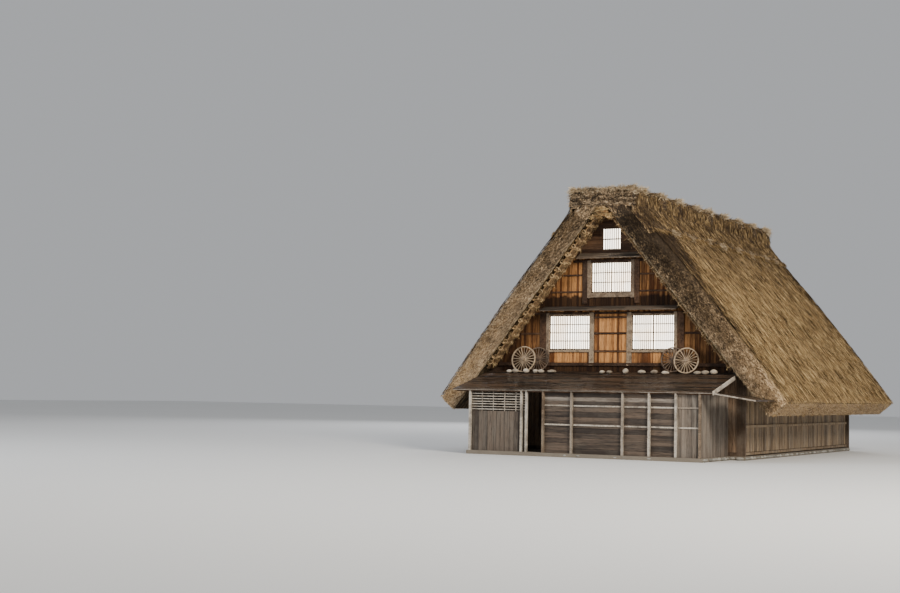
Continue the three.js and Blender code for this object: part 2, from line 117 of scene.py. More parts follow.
def vergeEdge(y, z, unsigned):
    # how far a place is from the nearer verge, along the ridge; unsigned takes the sign off
    return house["vergeHalf"] + (z - house["eaveZ"]) * house["vergeOpen"] - unsigned(y - house["vergeMiddle"])


# a socket of a finish, so that shader maths reads as an expression
class Wire:
    def __init__(self, finish, socket):
        self.finish = finish
        self.socket = socket

    def maths(self, operation, *others):
        values = dict(enumerate((self,) + others))
        return self.finish.node("ShaderNodeMath", values, {"operation": operation})

    def __add__(self, other):
        return self.maths("ADD", other)

    __radd__ = __add__

    def __sub__(self, other):
        return self.maths("SUBTRACT", other)

    def __rsub__(self, other):
        return self.finish.node("ShaderNodeMath", {0: other, 1: self}, {"operation": "SUBTRACT"})

    def __mul__(self, other):
        return self.maths("MULTIPLY", other)

    __rmul__ = __mul__


class Finish:
    def __init__(self, name):
        self.material = bpy.data.materials.new(name)
        self.material.use_nodes = True
        self.tree = self.material.node_tree
        self.tree.nodes.clear()

    def node(self, kind, values=None, settings=None, output=0):
        item = self.tree.nodes.new(kind)
        for key, value in (settings or {}).items():
            if key == "stops":
                ramp = item.color_ramp
                while len(ramp.elements) < len(value):
                    ramp.elements.new(0.5)
                for element, (place, colour) in zip(ramp.elements, value):
                    element.position = place
                    element.color = (*colour, 1.0)
            else:
                setattr(item, key, value)
        for key, value in (values or {}).items():
            if isinstance(value, Wire):
                self.tree.links.new(value.socket, item.inputs[key])
            else:
                item.inputs[key].default_value = value
        return Wire(self, item.outputs[output]) if len(item.outputs) else None

    def place(self):
        return self.node("ShaderNodeTexCoord", output=3)

    def tone(self):
        return self.node("ShaderNodeAttribute", None, {"attribute_name": "tone"}, output=2)

    def parts(self, vector):
        item = self.tree.nodes.new("ShaderNodeSeparateXYZ")
        self.tree.links.new(vector.socket, item.inputs[0])
        return [Wire(self, item.outputs[i]) for i in range(3)]

    def vector(self, x, y, z):
        return self.node("ShaderNodeCombineXYZ", {0: x, 1: y, 2: z})

    def stretched(self, vector, scale):
        return self.node("ShaderNodeVectorMath", {0: vector, 1: scale}, {"operation": "MULTIPLY"})

    def shifted(self, vector, other):
        return self.node("ShaderNodeVectorMath", {0: vector, 1: other}, {"operation": "ADD"})

    def grain(self, vector, scale, detail=3.0, rough=0.6):
        scale = scale if isinstance(scale, tuple) else (scale, scale, scale)
        values = {"Vector": self.stretched(vector, scale), "Scale": 1.0, "Detail": detail, "Roughness": rough}
        return self.node("ShaderNodeTexNoise", values)

    def ramp(self, value, stops):
        return self.node("ShaderNodeValToRGB", {0: value}, {"stops": stops})

    def level(self, value, low, high):
        return self.node("ShaderNodeMapRange", {0: value, 1: low, 2: high, 3: 0.0, 4: 1.0}, {"clamp": True})

    def mix(self, share, first, second):
        colours = [(*c, 1.0) if isinstance(c, tuple) else c for c in (first, second)]
        values = {0: share, 6: colours[0], 7: colours[1]}
        return self.node("ShaderNodeMix", values, {"data_type": "RGBA"}, output=2)

    def bump(self, height, strength, distance):
        values = {"Height": height, "Strength": strength, "Distance": distance}
        return self.node("ShaderNodeBump", values)

    def shade(self, values):
        shader = self.node("ShaderNodeBsdfPrincipled", values)
        self.node("ShaderNodeOutputMaterial", {0: shader})
        return self.material


# painted shade colours: under the thatch, on the verge corners and on the gable walls
shades = {"underside": (0.016, 0.010, 0.005), "paintedCornerShade": (0.030, 0.019, 0.010),
          "paintedWallShade": (0.011, 0.006, 0.004)}


def thatchFinish(name, straw, cut, eave=1.0, along=1.0):
    # straw that runs down the slope, with cut ends on the verge and eave faces
    f = Finish(name)
    place = f.place()
    x, y, z = f.parts(place)
    away = x.maths("ABSOLUTE")
    lay = f.vector(y, away * upSlope[0] + z * upSlope[1], away * outSlope[0] + z * outSlope[1])
    drift = f.grain(lay, (0.8, 0.3, 1.0))
    bent = f.shifted(lay, f.vector(drift * 0.5, 0.0, 0.0))
    locks = f.grain(bent, (9.0, 1.3 * along, 8.0), 3.0, 0.62)
    strands = f.grain(bent, (25.0, 2.6 * along, 24.0), 3.0, 0.7)
    flecks = f.grain(bent, (48.0, 5.0 * along, 48.0), 2.0, 0.7)
    patches = f.grain(lay, (0.30, 0.45, 0.5), 4.0)
    # painted light and shade on the verges: the left one lit more than the right, the cut ends darker higher
    # up
    leftLight = f.level(x, 1.2, -1.0) * eave
    vergeHeightShade = f.level(z, 3.5, 10.6) * (1.15 - leftLight * 0.75)
    streak = locks * 0.24 + strands * 0.46 + flecks * 0.30
    # painted shade on the strip of slope next to each verge, wider and deeper higher up, and painted shade
    # towards the ridge
    edge = vergeEdge(y, z, lambda wire: wire.maths("ABSOLUTE"))
    wider = f.level(z, 6.0, 8.8) * f.level(y, 2.0, -2.0) * house["darkTop"]
    strip = f.level(edge - wider + (patches - 0.5) * 1.2, 1.45, 0.40)
    vergeShade = strip * (0.30 + f.level(z, 3.2, 7.6) * 0.70)
    upperShade = f.level(z + (patches - 0.5) * 2.0, 6.6, 9.6)
    strawColour = f.ramp(streak + (patches - 0.5) * 0.08 - upperShade * 0.042 - vergeShade * (0.070 * eave), straw)
    _, ny, nz = f.parts(f.node("ShaderNodeNewGeometry", output=1))
    cutFace = f.level(ny.maths("ABSOLUTE"), 0.35, 0.85)
    if eave:
        cutFace = cutFace.maths("MAXIMUM", f.level(nz * -1.0, 0.68, 0.74))
    else:
        cutFace = cutFace * f.level(z, 9.80, 9.94)
    butts = f.grain(lay, (24.0, 6.5, 17.0), 3.0, 0.7)
    fine = f.grain(lay, (40.0, 15.0, 34.0), 2.0, 0.7)
    specks = f.grain(place, 30.0, 3.0, 0.7)
    layers = f.grain(lay, (2.0, 1.1, 7.0))
    cutTone = (butts * 0.45 + fine * 0.30 + specks * 0.25
               + (layers - 0.5) * 0.16 + (patches - 0.5) * 0.10)
    depth = (house["eaveX"] - away) * outSlope[0] - (z - house["eaveZ"]) * outSlope[1]
    # the cut ends show lighter along the inner part of a verge
    bare = f.level(depth + (patches - 0.5) * 0.5, 0.40, 0.80)
    # painted light on the lower part of the left verge
    lowLeftLight = leftLight * f.level(z, 8.0, 2.5)
    cutColour = f.ramp(cutTone + (0.032 - vergeHeightShade * 0.135) + bare * 0.012 + lowLeftLight * 0.030, cut)
    # painted shade on the outer corners of the verges, strongest high on the right
    highRightShade = f.level(z, 3.0, 8.0) * f.level(x, -1.0, 1.0)
    cornerShade = f.level(depth, 0.75, 0.15) * f.level(edge, 0.75, 0.25) * (0.06 + highRightShade * 0.78)
    # the underside lies in the dark behind the poles
    under = f.level(nz * -1.0, 0.50, 0.56) * f.level(nz * -1.0, 0.67, 0.64)
    strawColour = f.mix(under * 0.72, strawColour, shades["underside"])
    loose = 1.0 - cutFace
    height = (streak * 1.2 + patches * 0.3) * loose + (butts * 0.6 + fine * 0.4 + specks * 0.4) * cutFace
    return f.shade({
        "Base Color": f.mix(cornerShade * eave, f.mix(cutFace, strawColour, cutColour), shades["paintedCornerShade"]),
        "Roughness": 0.74 + strands * 0.24,
        "Specular IOR Level": 0.25,
        "Normal": f.bump(height, 0.9, 0.07),
    })


def strawFinish(name, light, middle, dark):
    f = Finish(name)
    wear = f.grain(f.place(), 2.2)
    colour = f.ramp(f.tone() * 0.8 + (wear - 0.5) * 0.4, [(0.05, dark), (0.45, middle), (0.9, light)])
    return f.shade({"Base Color": colour, "Roughness": 0.72 + wear * 0.2, "Specular IOR Level": 0.25})


# scales of the grain, finest across it
alongX, alongY, alongZ = (0.7, 14.0, 14.0), (14.0, 0.7, 14.0), (14.0, 14.0, 0.7)


def wallShadeShare(f, place, stain):
    # painted shade on the gable walls: under the thatch overhang, in bands above the ledges and at the foot
    # of the wall, and low in the outer corners behind the wheels
    x, _, z = f.parts(place)
    shelter = innerHalf(0.0) - z * (1.0 / pitch) - x.maths("ABSOLUTE") + (stain - 0.5) * 1.2
    ledgeAndFootShade = f.level(z, 3.80, 3.58)
    for low, high in ((5.9, 6.56), (8.0, 8.5)):
        ledgeShade = f.level(z + (stain - 0.5) * 0.5, high, high - 0.16) * f.level(z, low - 0.1, low)
        ledgeAndFootShade = ledgeAndFootShade.maths("MAXIMUM", ledgeShade)
    overhangShade = f.level(shelter, 2.3, 0.2) * (0.80 - f.level(z, 6.2, 6.8) * 0.40)
    outer = f.level(x.maths("ABSOLUTE"), 2.75, 3.10)
    corners = outer * f.level(z + (stain - 0.5) * 0.8, 4.9, 4.1) * 0.80
    return overhangShade.maths("MAXIMUM", corners).maths("MAXIMUM", ledgeAndFootShade * 0.93)


def woodFinish(name, light, dark, grey, along=alongZ, greying=0.4, rough=0.78, coat=0.0, relief=0.6,
               contrast=0.13, ownTone=0.32, wallShadeWeight=0.0, gloss=0.4):
    # sawn or hewn timber: grain along one axis, each board with its own tone
    f = Finish(name)
    along = along if isinstance(along, tuple) else (along, along, along)
    place = f.place()
    tone = f.tone()
    own = f.shifted(place, f.vector(tone * 7.3, tone * 11.9, tone * 5.1))
    wide = f.grain(own, along, 3.0, 0.62)
    fine = f.grain(own, tuple(a * 4.0 for a in along), 3.0, 0.66)
    stain = f.grain(own, 0.9, 4.0, 0.65)
    smears = f.grain(own, tuple(a * 0.45 for a in along), 3.0, 0.6)
    middle = 0.66
    streak = wide * 0.6 + fine * 0.4 + tone * ownTone + (middle - 0.5 - ownTone / 2)
    base = f.ramp(streak, [(middle - contrast, dark), (middle + contrast, light)])
    wearAndShade = f.mix(f.level(stain, 0.44, 0.66) * greying, base, grey)
    dirt = f.level(smears, 0.50, 0.36) * 0.55
    cracks = f.level(fine, 0.42, 0.36) * 0.7
    colour = f.mix(dirt.maths("MAXIMUM", cracks), wearAndShade, tuple(c * 0.30 for c in dark))
    # painted shade from the thatch overhang, the ledges and the wheels
    if wallShadeWeight:
        colour = f.mix(wallShadeShare(f, place, stain) * wallShadeWeight, colour, shades["paintedWallShade"])
    return f.shade({
        "Base Color": colour,
        "Roughness": (rough - 0.14) + stain * 0.3,
        "Coat Weight": f.level(stain, 0.35, 0.6) * coat if coat else 0.0,
        "Coat Roughness": 0.16,
        "Specular IOR Level": gloss,
        "Normal": f.bump(wide * 0.6 + fine * 0.7, relief, 0.008),
    })


def paperFinish():
    # lit from within, with faint fibres and a soft cloud of light
    f = Finish("lampLitPaper")
    place = f.place()
    fibres = f.grain(place, 30.0, 4.0, 0.7)
    cloud = f.grain(place, 1.1, 2.0)
    warm = f.mix(f.level(cloud * 0.8 + fibres * 0.2, 0.35, 0.62), (1.0, 0.80, 0.58), (1.0, 0.92, 0.79))
    return f.shade({
        "Base Color": f.mix(0.5, warm, (0.93, 0.90, 0.84)),
        "Roughness": 0.75 + fibres * 0.1,
        "Emission Color": warm,
        "Emission Strength": 6.0,
        "Normal": f.bump(fibres, 0.15, 0.002),
    })


def stoneFinish(name, light, dark, size=3.0):
    f = Finish(name)
    place = f.place()
    body = f.grain(place, size, 6.0, 0.65)
    pores = f.grain(place, 34.0, 3.0, 0.7)
    moss = f.level(f.grain(place, 1.6, 4.0), 0.56, 0.7)
    colour = f.ramp(body * 0.6 + f.tone() * 0.45 + pores * 0.15, [(0.36, dark), (0.86, light)])
    return f.shade({
        "Base Color": f.mix(moss * 0.3, colour, (0.10, 0.10, 0.05)),
        "Roughness": 0.75 + pores * 0.2,
        "Normal": f.bump(body + pores * 0.5, 0.6, 0.02),
    })


# collects the points and faces of one piece, with a tone for each part of it
class Shape:
    def __init__(self):
        self.points = []
        self.faces = []
        self.tones = []

    def add(self, points, faces, tone=None):
        tone = dice.random() if tone is None else tone
        start = len(self.points)
        self.points.extend([tuple(p) for p in points])
        self.faces.extend([tuple(start + i for i in face) for face in faces])
        self.tones.extend([tone] * len(points))


# collects straws: roots, aims and the way that each flat blade faces
class Straws:
    def __init__(self):
        self.rows = []

    def add(self, roots, aims, lengths, widths, tones, facing=None):
        count = len(roots)
        facing = bell(size=(count, 3)) if facing is None else facing + bell(0.0, 0.5, (count, 3))
        self.rows.append([
            np.asarray(roots, float), unit(aims), facing,
            *[even(*v, count) if isinstance(v, tuple) else np.asarray(v, float)
              for v in (lengths, widths, tones)],
        ])

    def make(self, name, finish, slotName):
        roots, aims, facing, lengths, widths, tones = [np.concatenate(column) for column in zip(*self.rows)]
        half = unit(np.cross(aims, facing)) * widths[:, None] / 2.0
        tips = roots + aims * lengths[:, None]
        corners = np.stack([roots - half, roots + half, tips + half * 0.5, tips - half * 0.5], axis=1)
        faces = np.arange(len(roots) * 4).reshape(-1, 4)
        mesh = tonedMesh(name, corners.reshape(-1, 3), faces, np.repeat(tones, 4), finish)
        return placed(name, mesh, ())


def unit(vectors):
    vectors = np.asarray(vectors, float)
    return vectors / (np.linalg.norm(vectors, axis=-1, keepdims=True) + 1e-9)


def lines(*columns):
    # one row for each straw, from an array or one fixed value for each axis
    count = max(np.size(column) for column in columns)
    return np.stack([np.broadcast_to(column, count) for column in columns], axis=1)


def ripples(*columns):
    # smooth noise for each row
    return np.array([noise.noise(Vector(row)) for row in lines(*columns)])


def held(values):
    # kept from 0 to 1
    return np.clip(values, 0.0, 1.0)


def tonedMesh(name, points, faces, tones, finish):
    mesh = bpy.data.meshes.new(name)
    mesh.from_pydata(points, [], faces)
    mesh.attributes.new("tone", "FLOAT", "POINT").data.foreach_set("value", np.asarray(tones, np.float32))
    mesh.materials.append(finish)
    return mesh


def placed(name, mesh, nodes):
    piece = bpy.data.objects.new(name, mesh)
    bpy.context.scene.collection.objects.link(piece)
    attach(piece, "root")
    if nodes:
        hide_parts(*nodes)
    return piece


def makePiece(name, shape, finish, nodes=(), bevel=0.0, smooth=False, weld=False):
    mesh = tonedMesh(name, shape.points, shape.faces, shape.tones, finish)
    work = bmesh.new()
    work.from_mesh(mesh)
    if weld:
        bmesh.ops.remove_doubles(work, verts=work.verts, dist=1e-4)
    bmesh.ops.recalc_face_normals(work, faces=work.faces)
    if bevel:
        edges = [e for e in work.edges if len(e.link_faces) == 2 and e.calc_face_angle(0.0) > 0.6]
        bmesh.ops.bevel(work, geom=edges, offset=bevel, segments=1, affect="EDGES", clamp_overlap=True)
    work.to_mesh(mesh)
    work.free()
    mesh.polygons.foreach_set("use_smooth", [smooth] * len(mesh.polygons))
    return placed(name, mesh, nodes)


def beam(shape, start, end, width, depth, up, rough, steps, tone=None):
    # hewn timber from start to end; depth lies along up
    start, end = Vector(start), Vector(end)
    run = (end - start).normalized()
    side = run.cross(Vector(up)).normalized()
    up = side.cross(run).normalized()
    points = []
    for i in range(steps + 1):
        middle = start.lerp(end, i / steps)
        for a, b in ((-1, -1), (1, -1), (1, 1), (-1, 1)):
            wobble = even(-rough, rough, 2)
            points.append(middle + side * (a * width / 2 + wobble[0]) + up * (b * depth / 2 + wobble[1]))
    faces = [(3, 2, 1, 0), tuple(4 * steps + k for k in range(4))]
    for i in range(steps):
        for k in range(4):
            low = 4 * i
            faces.append((low + k, low + (k + 1) % 4, low + 4 + (k + 1) % 4, low + 4 + k))
    shape.add(points, faces, tone)


def slab(shape, x0, x1, y0, y1, z0, z1, rough, steps=4):
    # beam between two corners, hewn along its longest side
    (x0, x1), (y0, y1), (z0, z1) = sorted((x0, x1)), sorted((y0, y1)), sorted((z0, z1))
    spans = [x1 - x0, y1 - y0, z1 - z0]
    axis = spans.index(max(spans))
    low, high = Vector((x0, y0, z0)), Vector((x1, y1, z1))
    start = (low + high) / 2
    end = start.copy()
    start[axis], end[axis] = low[axis], high[axis]
    up = [(0, 0, 1), (0, 0, 1), (0, 1, 0)][axis]
    wide, deep = [(1, 2), (0, 2), (0, 1)][axis]
    beam(shape, start, end, spans[wide], spans[deep], up, rough, steps)


def tube(shape, path, radii, sides, tone=None, closed=False, ripple=0.0):
    path = [Vector(p) for p in path]
    count = len(path)
    if not hasattr(radii, "__len__"):
        radii = [radii] * count
    points = []
    side = None
    for i, spot in enumerate(path):
        before = path[i - 1] if i or closed else spot
        after = path[(i + 1) % count] if i < count - 1 or closed else spot
        run = (after - before).normalized()
        if side is None:
            side = run.orthogonal().normalized()
        side = (side - run * side.dot(run)).normalized()
        other = run.cross(side)
        for k in range(sides):
            angle = 2 * math.pi * k / sides
            reach = radii[i] * (1 + even(-ripple, ripple))
            points.append(spot + (side * math.cos(angle) + other * math.sin(angle)) * reach)
    faces = []
    for i in range(count if closed else count - 1):
        a, b = i * sides, ((i + 1) % count) * sides
        for k in range(sides):
            faces.append((a + k, a + (k + 1) % sides, b + (k + 1) % sides, b + k))
    if not closed:
        faces.append(tuple(reversed(range(sides))))
        faces.append(tuple((count - 1) * sides + k for k in range(sides)))
    shape.add(points, faces, tone)


def neighbours(cuts):
    return zip(cuts[:-1], cuts[1:])


def between(start, end, steps):
    start, end = Vector(start), Vector(end)
    return [start.lerp(end, t) for t in np.linspace(0.0, 1.0, steps)]


def clipped(outline, distance):
    # the part of an outline where distance is not negative
    kept = []
    for i, spot in enumerate(outline):
        last = outline[i - 1]
        here, there = distance(spot), distance(last)
        if (here >= 0) != (there >= 0):
            share = there / (there - here)
            kept.append((last[0] + (spot[0] - last[0]) * share, last[1] + (spot[1] - last[1]) * share))
        if here >= 0:
            kept.append(spot)
    return kept


def underThatch(outline, margin):
    for side in (-1, 1):
        outline = clipped(outline, lambda p: innerHalf(p[1]) - margin - side * p[0])
    return outline


def plate(shape, outline, y0, y1, tone):
    # flat board with an outline in X and Z, between two planes
    y0, y1 = sorted((y0, y1))
    count = len(outline)
    if count < 3:
        return
    points = [(x, y0, z) for x, z in outline] + [(x, y1, z) for x, z in outline]
    faces = [tuple(range(count)), tuple(reversed(range(count, 2 * count)))]
    for i in range(count):
        j = (i + 1) % count
        faces.append((i, j, count + j, count + i))
    shape.add(points, faces, tone)


def boarding(shape, span, heights, end, board, upright=True, margin=0.02):
    # boards over part of a gable wall, trimmed to the thatch
    out, face, _ = ends[end]
    (x0, x1), (z0, z1) = span, heights
    low, high = (x0, x1) if upright else (z0, z1)
    count = max(1, round((high - low) / board))
    cuts = np.linspace(low, high, count + 1)
    cuts[1:-1] += even(-0.12, 0.12, count - 1) * board
    for a, b in zip(cuts[:-1] + 0.004, cuts[1:] - 0.004):
        corners = [(a, z0), (b, z0), (b, z1), (a, z1)] if upright else [(x0, a), (x1, a), (x1, b), (x0, b)]
        near = face + out * (0.0015 + even(0.0, 0.004))
        far = near + out * (0.024 + even(-0.004, 0.004))
        plate(shape, underThatch(corners, margin), near, far, even())


def dress(names, finish):
    for name in names:
        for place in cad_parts[name].material_slots:
            place.link = "OBJECT"
            place.material = finish


# finishes, in colours as seen under plain light
deepStraw = (0.020, 0.011, 0.005)
darkStraw = (0.105, 0.062, 0.026)
midStraw = (0.330, 0.215, 0.095)
goldStraw = (0.690, 0.510, 0.270)
slopeStraw = [(0.425, deepStraw), (0.460, darkStraw), (0.505, midStraw), (0.562, goldStraw)]
ridgeSides = [(0.430, deepStraw), (0.470, (0.070, 0.042, 0.020)), (0.520, (0.200, 0.130, 0.062)),
              (0.590, (0.46, 0.34, 0.19))]
cutStraw = [(0.40, (0.016, 0.011, 0.007)), (0.45, (0.085, 0.055, 0.029)), (0.50, (0.245, 0.162, 0.087)),
            (0.58, (0.66, 0.475, 0.285))]

slopeThatch = thatchFinish("slopeThatch", slopeStraw, cutStraw)
ridgeThatch = thatchFinish("ridgeThatch", ridgeSides, [(place - 0.04, colour) for place, colour in cutStraw],
                           eave=0.0, along=2.0)
goldenStraw = strawFinish("goldenStraw", (0.66, 0.48, 0.24), (0.31, 0.200, 0.088), (0.040, 0.023, 0.010))
brownStraw = strawFinish("brownStraw", (0.66, 0.465, 0.255), (0.265, 0.172, 0.088), (0.034, 0.021, 0.011))
cutEnds = strawFinish("cutEnds", (0.64, 0.485, 0.310), (0.245, 0.168, 0.098), (0.030, 0.020, 0.012))
ropeStraw = strawFinish("ropeStraw", (0.86, 0.64, 0.36), (0.42, 0.28, 0.145), (0.040, 0.024, 0.012))
paleStraw = strawFinish("paleStraw", (0.74, 0.62, 0.44), (0.40, 0.30, 0.18), (0.075, 0.050, 0.030))
uprightBoards = woodFinish("uprightBoards", (0.62, 0.290, 0.100), (0.135, 0.048, 0.016), (0.28, 0.165, 0.095),
                           greying=0.3, contrast=0.14, ownTone=0.5, wallShadeWeight=1.0, gloss=0.12)
levelBoards = woodFinish("levelBoards", (0.150, 0.078, 0.040), (0.050, 0.025, 0.014), (0.12, 0.080, 0.055),
                         along=alongX, greying=0.35, wallShadeWeight=0.6, gloss=0.15)
hewnTimber = woodFinish("hewnTimber", (0.31, 0.225, 0.145), (0.120, 0.078, 0.048), (0.30, 0.25, 0.19),
                        along=6.0, greying=0.5)
darkTimber = woodFinish("darkTimber", (0.110, 0.058, 0.032), (0.034, 0.018, 0.011), (0.11, 0.075, 0.052),
                        along=5.0, greying=0.3, gloss=0.15)
windowBars = woodFinish("windowBars", (0.155, 0.115, 0.078), (0.060, 0.042, 0.030), (0.17, 0.14, 0.11),
                        along=5.0, greying=0.3)
wetBoards = woodFinish("wetBoards", (0.085, 0.049, 0.027), (0.007, 0.005, 0.003), (0.036, 0.026, 0.019),
                       along=(0.5, 14.0, 14.0), greying=0.3, rough=0.52, coat=0.62, relief=1.0, ownTone=0.46,
                       contrast=0.17, gloss=0.15)
ledgeBoards = woodFinish("ledgeBoards", (0.120, 0.085, 0.056), (0.022, 0.015, 0.010), (0.085, 0.068, 0.052),
                         along=(0.7, 12.0, 12.0), greying=0.4, rough=0.80, relief=0.9, ownTone=0.5)
plankWood = woodFinish("plankWood", (0.125, 0.088, 0.062), (0.032, 0.022, 0.016), (0.110, 0.094, 0.077),
                       along=alongX, greying=0.4, ownTone=0.45)
uprightPlanks = woodFinish("uprightPlanks", (0.140, 0.105, 0.077), (0.045, 0.033, 0.024),
                           (0.150, 0.130, 0.106), greying=0.5, ownTone=0.5)
wallPlanks = woodFinish("wallPlanks", (0.26, 0.165, 0.098), (0.085, 0.052, 0.031), (0.22, 0.18, 0.14),
                        greying=0.5, ownTone=0.5)
paleBoards = woodFinish("paleBoards", (0.215, 0.170, 0.130), (0.080, 0.060, 0.045), (0.20, 0.178, 0.150),
                        greying=0.6)
palePlanks = woodFinish("palePlanks", (0.31, 0.255, 0.205), (0.120, 0.092, 0.070), (0.27, 0.24, 0.205),
                        along=alongX, greying=0.6)
porchTimber = woodFinish("porchTimber", (0.54, 0.47, 0.38), (0.26, 0.21, 0.16), (0.46, 0.43, 0.38),
                         along=6.0, greying=0.6)
sideBoards = woodFinish("sideBoards", (0.42, 0.30, 0.18), (0.16, 0.105, 0.060), (0.34, 0.29, 0.23),
                        greying=0.5)
roofPoles = woodFinish("roofPoles", (0.36, 0.22, 0.100), (0.060, 0.032, 0.014), (0.25, 0.18, 0.11),
                       along=5.0, greying=0.3)
brightPoles = woodFinish("brightPoles", (0.86, 0.55, 0.25), (0.34, 0.185, 0.075), (0.50, 0.36, 0.21),
                         along=5.0, greying=0.25)
wheelWood = woodFinish("wheelWood", (0.50, 0.37, 0.235), (0.20, 0.135, 0.080), (0.42, 0.34, 0.25),
                       along=9.0, greying=0.5)
# darker copy of the wheel wood for the rear wheels: painted shade
shadedWheelWood = woodFinish("shadedWheelWood", (0.19, 0.125, 0.078), (0.070, 0.044, 0.028), (0.18, 0.14, 0.11),
                          along=9.0, greying=0.4)
floorBoards = woodFinish("floorBoards", (0.30, 0.225, 0.150), (0.14, 0.10, 0.065), (0.24, 0.21, 0.18),
                         along=alongY)
windowPaper = paperFinish()
footStone = stoneFinish("footStone", (0.40, 0.38, 0.34), (0.16, 0.15, 0.13))
roofStone = stoneFinish("roofStone", (0.60, 0.52, 0.41), (0.20, 0.155, 0.11), 5.0)
beatenEarth = stoneFinish("beatenEarth", (0.30, 0.255, 0.20), (0.18, 0.15, 0.115), 1.2)
print("finishes ready")


# thatch
thatch = {
    "rounding": 0.44,      # outer corner along the verges
    "eaveRounding": 0.10,
    "bulge": 0.12,         # swell of a slope half way up
    "waves": 0.035,
    "lumps": 0.018,
    "step": 0.10,          # grid of the outer face
    "straws": 62000,
    "locks": 12000,
    "eaveStraws": 5000,
    "vergeStraws": 11000,
    "edgeStraws": 1500,
}


def slopeTop(depth):
    return slopeLength + depth * outSlope[1] / upSlope[1]


def slopePoint(side, up, depth, y):
    # up the slope from the eave tip, depth below the outer face
    x = house["eaveX"] + upSlope[0] * up - outSlope[0] * depth
    z = house["eaveZ"] + upSlope[1] * up - outSlope[1] * depth
    return Vector((side * x, y, z))


def rounded(a, b, radius):
    # moves a point near the corner of two faces onto the corner's arc
    if a < radius and b < radius:
        reach = math.hypot(radius - a, radius - b)
        if reach > radius:
            scale = radius / reach
            return radius - (radius - a) * scale, radius - (radius - b) * scale
    return a, b


def thatchSurface(side, up, along, depth):
    # place of a point of the slope body, with rounded corners
    top = slopeTop(depth)
    span = house["vergeBack"] - house["vergeFront"]
    fromFront, d1 = rounded(along, depth, thatch["rounding"])
    fromBack, d2 = rounded(span - along, depth, thatch["rounding"])
    depth = max(d1, d2)
    fromFoot, depth = rounded(up, depth, thatch["eaveRounding"])
    along = fromFront if along < span / 2 else span - fromBack
    spot = slopePoint(side, min(fromFoot, top), depth, 0.0)
    front, back = vergeY("front", spot.z), vergeY("back", spot.z)
    spot.y = front + along / span * (back - front)
    return spot


def thatchWave(side, y, z):
    # slow waves and lumps of the outer face over its plane
    share = min(1.0, max(0.0, (z - house["eaveZ"]) / (house["capFootZ"] - house["eaveZ"])))
    slow = noise.noise(Vector((y * 0.42, z * 0.34, side * 7.0))) * thatch["waves"]
    quick = noise.noise(Vector((y * 2.6, z * 1.1, side * 3.0))) * thatch["lumps"]
    return slow + quick + thatch["bulge"] * math.sin(math.pi * share) - 0.02


def gridFace(shape, first, second, place):
    rows, columns = len(first), len(second)
    points = [place(a, b) for a in first for b in second]
    faces = []
    for i in range(rows - 1):
        for j in range(columns - 1):
            a = i * columns + j
            faces.append((a, a + 1, a + columns + 1, a + columns))
    shape.add(points, faces, 0.5)


def stops(length, step, edge):
    # even stops with closer ones near both ends
    inner = np.linspace(edge, length - edge, max(2, round((length - 2 * edge) / step)))
    close = np.array([0.0, 0.1, 0.25, 0.45, 0.7]) * edge
    return np.concatenate([close, inner, length - close[::-1]])


def thatchSlope(side):
    label = sideNames[side]
    span = house["vergeBack"] - house["vergeFront"]
    shape = Shape()
    ups = stops(slopeLength, thatch["step"], 0.2)
    alongs = stops(span, thatch["step"], 0.4)
    depths = stops(thatchDepth, 0.07, 0.34)
    wide, long = stops(slopeLength, 0.6, 0.2), stops(span, 0.6, 0.4)
    gridFace(shape, ups, alongs, lambda u, a: thatchSurface(side, u, a, 0.0))
    top = slopeTop(thatchDepth)
    gridFace(shape, wide, long, lambda u, a: thatchSurface(side, u / slopeLength * top, a, thatchDepth))
    gridFace(shape, depths, alongs, lambda d, a: thatchSurface(side, 0.0, a, d))
    gridFace(shape, depths, long, lambda d, a: thatchSurface(side, slopeTop(d), a, d))
    for end in (0.0, span):
        gridFace(shape, ups, depths, lambda u, d: thatchSurface(side, u / slopeLength * slopeTop(d), end, d))
    moved = []
    for x, y, z in shape.points:
        spot = Vector((x, y, z))
        depth = (house["eaveX"] - abs(x)) * outSlope[0] - (z - house["eaveZ"]) * outSlope[1]
        push = Vector((side * outSlope[0], 0.0, outSlope[1]))
        if depth > thatchDepth - 0.02:
            wave = 0.032
        else:
            wave = thatchWave(side, y, z) * (1.0 - depth / thatchDepth)
        faceEnd = min(y - vergeY("front", z), vergeY("back", z) - y)
        if faceEnd < 0.25 and 0.03 < depth < thatchDepth - 0.02:
            across = Vector((x, 0.0, z))
            ripple = noise.noise(across * 2.3) * 0.035 + noise.noise(across * 7.0) * 0.016
            spot.y += 0.012 + ripple if y < 0 else -0.012 - ripple
        moved.append(tuple(spot + push * wave))
    shape.points = moved
    makePiece(label + "Thatch", shape, slopeThatch, (label + "_thatch_slope",), smooth=True,
              weld=True)


